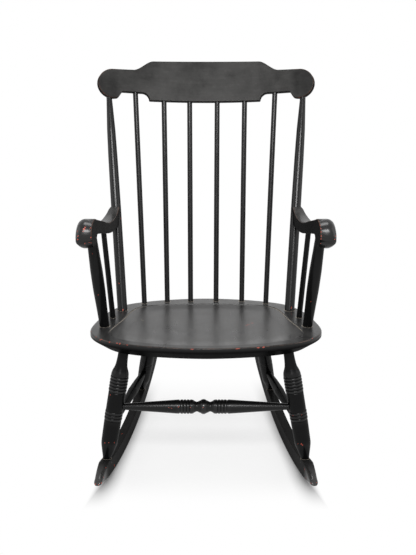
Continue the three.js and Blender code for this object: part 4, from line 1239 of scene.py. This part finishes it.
class ROCKING_OT_stage(bpy.types.Operator):
    """Make the floor, the light and the camera"""
    bl_idname = "rocking.stage"
    bl_label = "Stage"

    def execute(self, context):
        stage = context.scene.rocking_chair.stage
        make_floor(stage, context.scene.rocking_chair.rocker)
        make_light()
        make_camera(context, stage)
        return {"FINISHED"}


def seen_directly(start):
    """1 for what the camera sees, itself or in a reflection, and 0 for light on the object."""
    path = start.node("ShaderNodeLightPath", output="Is Camera Ray")
    glossy = start.node("ShaderNodeLightPath", output="Is Glossy Ray")
    clear = start.node("ShaderNodeLightPath", output="Is Transmission Ray")
    return path.largest(glossy).largest(clear)


def painted_floor_masks(start, rocker):
    """1 on the floor between and close to the rockers, and 0 further away, where the floor glows white as
    painted light over the chair's shadow, and how far the floor there shows white of itself: less beside
    the rockers than in the middle. That glow is painted light too: it lifts the shade under the chair and,
    missing along the rockers, paints a darker band beside them. Each is a smooth step of the distance from
    the seat's middle, or from the line of the nearer rocker."""
    place = start.node("ShaderNodeTexCoord", output=3)
    across = start.node("ShaderNodeSeparateXYZ", {}, {0: place}).math("ABSOLUTE")
    along = start.node("ShaderNodeSeparateXYZ", {}, {0: place}, output=1) + ORIGIN[1]
    outside = across + (along - rocker.low_point) * math.tan(rocker.toe) - rocker.spread
    ahead = (along * -1).between(*FLOOR_FADES["ahead"])
    behind = along.between(*FLOOR_FADES["behind"])
    lit = 1 - outside.between(*FLOOR_FADES["outside"]).largest(ahead).largest(behind)
    return lit, (outside * -1).between(*FLOOR_FADES["inside"])


def make_floor(stage, rocker):
    """A wide pale floor. Where the camera sees it, it is white of itself away from the chair: a glow of
    painted light that covers the chair's shadow there. Near the chair it is lit like everything else, so
    that it keeps the shadow between the rockers, and it also glows there: painted light that lifts that
    shade in the middle and fades out beside the rockers, which paints a darker band along them."""
    mesh = bpy.data.meshes.new("floor")
    corners = [(x * FLOOR_REACH, y * FLOOR_REACH, 0) for x, y in ((-1, -1), (1, -1), (1, 1), (-1, 1))]
    mesh.from_pydata(corners, [], [(0, 1, 2, 3)])
    floor = bpy.data.objects.new("floor", mesh)
    bpy.context.scene.collection.objects.link(floor)
    material, shader, start = new_material("pale_floor")
    shader.inputs["Roughness"].default_value = 1
    shader.inputs["Specular IOR Level"].default_value = 0
    shader.inputs["Emission Strength"].default_value = 1
    seen = seen_directly(start)
    lit, middle = painted_floor_masks(start, rocker)
    away = seen * (1 - lit)
    base = away.mixed(opaque(stage.floor), (0, 0, 0, 1))
    # The glow is painted light: full white away from the chair, over its shadow, and weaker under it. It is
    # least beside the rockers, where it paints a darker band.
    glow = (away + seen * lit * middle * stage.painted_floor_glow).mixed((0, 0, 0, 1), (1, 1, 1, 1))
    material.node_tree.links.new(base.socket, shader.inputs["Base Color"])
    material.node_tree.links.new(glow.socket, shader.inputs["Emission Color"])
    mesh.materials.append(material)


def make_light():
    """A pale room, a soft lamp above the camera, one overhead, and weak ones below the first and on each
    side."""
    scene = bpy.context.scene
    world = bpy.data.worlds.new("pale_room")
    world.use_nodes = True
    scene.world = world
    start = Wire(world.node_tree)
    dim = scene.rocking_chair.stage.room_light
    colour_seen = seen_directly(start).mixed((dim, dim, dim, 1), (1, 1, 1, 1))
    background = world.node_tree.nodes["Background"]
    world.node_tree.links.new(colour_seen.socket, background.inputs["Color"])
    for name, (place, aim, width, height, power) in LAMPS.items():
        lamp = bpy.data.lights.new(name, "AREA")
        lamp.shape = "RECTANGLE"
        lamp.size, lamp.size_y, lamp.energy = width, height, power
        holder = bpy.data.objects.new(name, lamp)
        scene.collection.objects.link(holder)
        holder.location = place
        holder.rotation_euler = direction_turn(np.array(aim) - np.array(place))


def direction_turn(look):
    """Turns about X and Z that point a lamp's -Z along a direction."""
    flat = math.hypot(look[0], look[1])
    return (math.atan2(flat, -look[2]), 0, math.atan2(-look[0], look[1]))


def make_camera(context, stage):
    """The camera at the photograph's place, with its picture moved by the few pixels of the framing."""
    data = bpy.data.cameras.new("camera")
    data.sensor_width = 36
    data.lens = stage.focal_length / PICTURE["height"] * data.sensor_width
    data.shift_x = (PICTURE["width"] / 2 - PICTURE["chair_axis"]) / PICTURE["height"]
    camera = bpy.data.objects.new("camera", data)
    context.scene.collection.objects.link(camera)
    camera.location = np.array([0, -stage.camera_distance, stage.camera_height]) - ORIGIN
    camera.rotation_euler = (math.pi / 2 - stage.camera_pitch, 0, 0)
    context.scene.camera = camera
    context.scene.view_settings.view_transform = "Standard"


OPERATORS = [ROCKING_OT_seat, ROCKING_OT_crest, ROCKING_OT_sticks, ROCKING_OT_arms, ROCKING_OT_rockers,
             ROCKING_OT_pegs, ROCKING_OT_stage]


class ROCKING_PT_panel(bpy.types.Panel):
    """Buttons that make the chair piece by piece"""
    bl_idname = "ROCKING_PT_panel"
    bl_label = "Rocking Chair"
    bl_space_type = "VIEW_3D"
    bl_region_type = "UI"
    bl_category = "Rocking Chair"

    def draw(self, context):
        for operator in OPERATORS:
            self.layout.operator(operator.bl_idname)


CLASSES = [SeatSettings, CrestSettings, ArmSettings, RockerSettings, FinishSettings, StageSettings,
           ChairSettings, *OPERATORS, ROCKING_PT_panel]


def register():
    for kind in CLASSES:
        bpy.utils.register_class(kind)
    bpy.types.Scene.rocking_chair = PointerProperty(type=ChairSettings)


def unregister():
    del bpy.types.Scene.rocking_chair
    for kind in reversed(CLASSES):
        bpy.utils.unregister_class(kind)


def main():
    register()
    bpy.ops.rocking.seat()
    bpy.ops.rocking.crest()
    bpy.ops.rocking.sticks()
    bpy.ops.rocking.arms()
    bpy.ops.rocking.rockers()
    bpy.ops.rocking.pegs()
    bpy.ops.rocking.stage()


if __name__ == "__main__":
    main()
